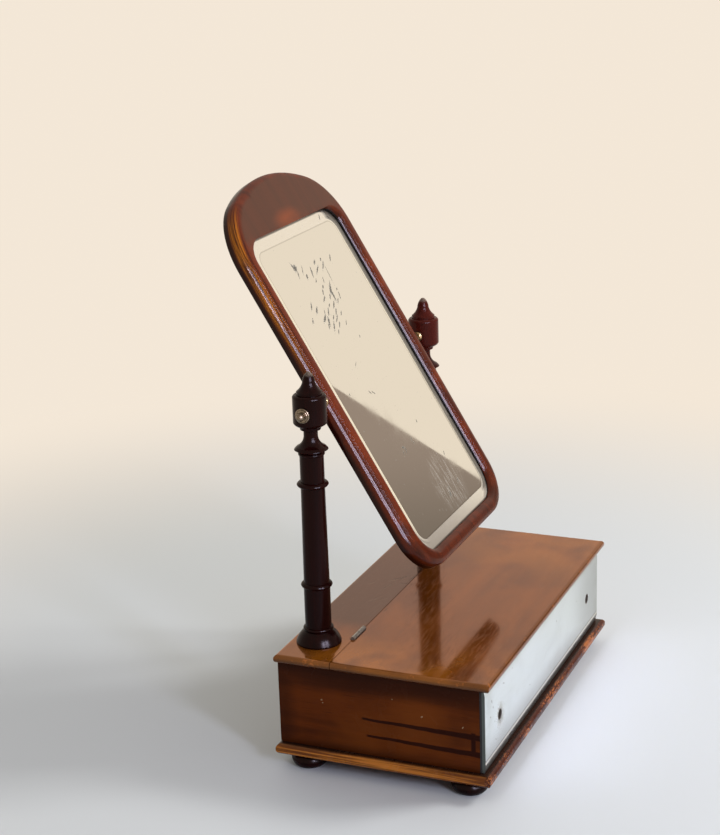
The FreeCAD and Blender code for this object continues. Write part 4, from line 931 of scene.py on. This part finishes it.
def lamp(name, place, target, size, power, tint):
    """A rectangular area lamp that faces its target."""
    data = bpy.data.lights.new(name, "AREA")
    data.shape = "RECTANGLE"
    data.size, data.size_y = size
    data.energy = power
    data.color = tint
    made = bpy.data.objects.new(name, data)
    made.location = place
    made.rotation_euler = (Vector(target) - Vector(place)).to_track_quat("-Z", "Y").to_euler()
    bpy.context.scene.collection.objects.link(made)
    return made


def seen(t):
    """1 for rays that show the backdrop: from the camera, and those that metal and glass send on."""
    rays = t.node("ShaderNodeLightPath").outputs
    return t.most(rays["Is Camera Ray"], rays["Is Glossy Ray"], rays["Is Transmission Ray"])


def floor_finish(colours):
    """Cool pale floor that passes into the plain backdrop some way off."""
    t = Finish("floor")
    t.set(Base_Color=colours.floor, Roughness=0.75)
    x, y, _ = t.parts(t.place)
    far = t.step(length_of(t, x, y), 0.45, 1.30)
    glow = t.node("ShaderNodeEmission", {"Color": colours.backdrop, "Strength": 1.0})
    both = t.node("ShaderNodeMixShader", {0: t.times(far, seen(t)), 1: t.shader.outputs["BSDF"], 2: glow})
    t.feed(t.output.inputs["Surface"], both)
    return t.made


def world_light(colours):
    """Soft room light, strong from the front and the right; what is seen of it is the plain backdrop."""
    world = bpy.data.worlds.new("studio")
    t = Tree(empty_nodes(world))
    x, y, z = t.parts(t.node("ShaderNodeTexCoord").outputs["Generated"])
    bright = t.step(t.plus(t.times(x, 0.85), t.times(y, 0.25), t.times(z, 0.35)), -0.55, 0.55)
    room = t.mix(bright, (0.060, 0.054, 0.050), (0.84, 0.78, 0.68))
    glow = t.node("ShaderNodeBackground", {"Color": t.mix(seen(t), room, colours.backdrop), "Strength": 1.0})
    t.node("ShaderNodeOutputWorld", {"Surface": glow})
    return world


def card_finish():
    """Plain grey-brown of the dark corner of the room that the swing glass shows."""
    made = bpy.data.materials.new("card")
    t = Tree(empty_nodes(made))
    _, y, z = t.parts(t.node("ShaderNodeTexCoord").outputs["Object"])
    depth = t.step(t.plus(t.times(z, 0.8), y), -1.32, -0.72)
    tone = t.mix(depth, (0.195, 0.160, 0.130), (0.345, 0.272, 0.225))
    glow = t.node("ShaderNodeEmission", {"Color": tone, "Strength": 1.0})
    t.node("ShaderNodeOutputMaterial", {"Surface": glow})
    return made


# Broad glossy faces, which would show the sheen lamp as a hard white patch from the side and from behind.
FLAT_PIECES = ("lid", "rear_strip", "mirror_glass")
# Where the window's two lamps stand and aim, how far the floor reaches, and the card's place.
WINDOW = (-1.42, -1.98, 1.25)
AIM = (0, 0, 0.25)
FLOOR_REACH = 30
CARD_X, CARD_Y, CARD_Z = 3.0, (-4.0, -1.475), (-0.2, 1.25)


def stage(colours):
    """Floor, card, room light, a soft key lamp, and a window's light in two lamps: its glow and its sheen."""
    scene = bpy.context.scene
    scene.view_settings.view_transform = "Standard"
    camera()
    sheet("floor", [(x * FLOOR_REACH, y * FLOOR_REACH, 0) for x, y in ((-1, -1), (1, -1), (1, 1), (-1, 1))],
          floor_finish(colours))
    (front, back), (foot, top) = CARD_Y, CARD_Z
    corners = [(CARD_X, front, foot), (CARD_X, back, foot), (CARD_X, back, top), (CARD_X, front, top)]
    card = sheet("card", corners, card_finish())
    card.visible_camera = False
    card.visible_diffuse = False
    card.visible_shadow = False
    scene.world = world_light(colours)
    lamp("key", (1.3, -2.3, 2.1), (0, 0, 0.2), (0.9, 0.9), 60.0, (1.0, 0.95, 0.88)).visible_glossy = False
    lamp("window", WINDOW, AIM, (0.30, 0.90), 22.0, (0.82, 0.84, 1.0)).visible_glossy = False
    sheen = lamp("sheen", WINDOW, AIM, (1.50, 1.10), 210.0, (0.80, 0.77, 1.0))
    sheen.visible_diffuse = False
    flat = bpy.data.collections.new("flat pieces without sheen")
    for name in FLAT_PIECES:
        flat.objects.link(bpy.data.objects[name])
    for entry in flat.collection_objects:
        entry.light_linking.link_state = "EXCLUDE"
    sheen.light_linking.receiver_collection = flat


# ---- Operators ---------------------------------------------------
class Piece(bpy.types.Operator):
    """Shared parts of the operators"""

    bl_options = {"REGISTER"}

    def settings(self, context):
        return context.scene.dressing_mirror_sizes, context.scene.dressing_mirror_colours


class MIRROR_OT_effects(Piece):
    """Build the shader groups that several finishes share"""

    bl_idname = "mirror.effects"
    bl_label = "Shared effects"

    def execute(self, context):
        wood_figure_group()
        polish_group()
        speckle_group()
        torn_mark_group()
        patina_group()
        return {"FINISHED"}


class MIRROR_OT_case(Piece):
    """Finish the lid, the rear strip, the sides, the base and the boards inside"""

    bl_idname = "mirror.case"
    bl_label = "Case and lid"

    def execute(self, context):
        _, colours = self.settings(context)
        top_wood(colours)
        side_wood(colours)
        base_wood(colours)
        plain_woods(colours)
        return {"FINISHED"}


class MIRROR_OT_turnings(Piece):
    """Finish the turned posts and the bun feet"""

    bl_idname = "mirror.turnings"
    bl_label = "Posts and feet"

    def execute(self, context):
        _, colours = self.settings(context)
        turned_wood(colours)
        return {"FINISHED"}


class MIRROR_OT_swing(Piece):
    """Finish the swing mirror's frame and its bevelled glass"""

    bl_idname = "mirror.swing"
    bl_label = "Swing mirror"

    def execute(self, context):
        sizes, colours = self.settings(context)
        frame_wood(colours, sizes)
        swing_glass(colours, sizes)
        return {"FINISHED"}


class MIRROR_OT_drawer(Piece):
    """Finish the mirror plate on the drawer's front"""

    bl_idname = "mirror.drawer"
    bl_label = "Drawer plate"

    def execute(self, context):
        sizes, colours = self.settings(context)
        drawer_glass(colours, sizes)
        return {"FINISHED"}


class MIRROR_OT_metals(Piece):
    """Finish the thumb screws, the pivot bushes and the hinges"""

    bl_idname = "mirror.metals"
    bl_label = "Brass fittings"

    def execute(self, context):
        _, colours = self.settings(context)
        metals(colours)
        return {"FINISHED"}


class MIRROR_OT_screws(Piece):
    """Make the slotted screws of the base, the mirror's back and the hinges"""

    bl_idname = "mirror.screws"
    bl_label = "Slotted screws"

    def execute(self, context):
        sizes, colours = self.settings(context)
        screws(sizes, colours)
        return {"FINISHED"}


class MIRROR_OT_stage(Piece):
    """Set up the floor, the lamps, the world and the camera"""

    bl_idname = "mirror.stage"
    bl_label = "Studio"

    def execute(self, context):
        _, colours = self.settings(context)
        stage(colours)
        return {"FINISHED"}


class MIRROR_PT_panel(bpy.types.Panel):
    """Lists the pieces of the dressing mirror"""

    bl_idname = "MIRROR_PT_panel"
    bl_label = "Dressing mirror"
    bl_space_type = "VIEW_3D"
    bl_region_type = "UI"
    bl_category = "Dressing mirror"

    def draw(self, context):
        for operator in OPERATORS:
            self.layout.operator(operator.bl_idname)
        for group in (context.scene.dressing_mirror_sizes, context.scene.dressing_mirror_colours):
            for name in group.__annotations__:
                self.layout.prop(group, name)


# ---- Add-on ------------------------------------------------------
OPERATORS = (MIRROR_OT_effects, MIRROR_OT_case, MIRROR_OT_turnings, MIRROR_OT_swing, MIRROR_OT_drawer,
             MIRROR_OT_metals, MIRROR_OT_screws, MIRROR_OT_stage)
CLASSES = (MirrorSizes, MirrorColours) + OPERATORS + (MIRROR_PT_panel,)


def register():
    for item in CLASSES:
        bpy.utils.register_class(item)
    bpy.types.Scene.dressing_mirror_sizes = bpy.props.PointerProperty(type=MirrorSizes)
    bpy.types.Scene.dressing_mirror_colours = bpy.props.PointerProperty(type=MirrorColours)


def unregister():
    del bpy.types.Scene.dressing_mirror_colours
    del bpy.types.Scene.dressing_mirror_sizes
    for item in reversed(CLASSES):
        bpy.utils.unregister_class(item)


def main():
    register()
    bpy.ops.mirror.effects()
    bpy.ops.mirror.case()
    bpy.ops.mirror.turnings()
    bpy.ops.mirror.swing()
    bpy.ops.mirror.drawer()
    bpy.ops.mirror.metals()
    bpy.ops.mirror.screws()
    bpy.ops.mirror.stage()


if __name__ == "__main__":
    main()
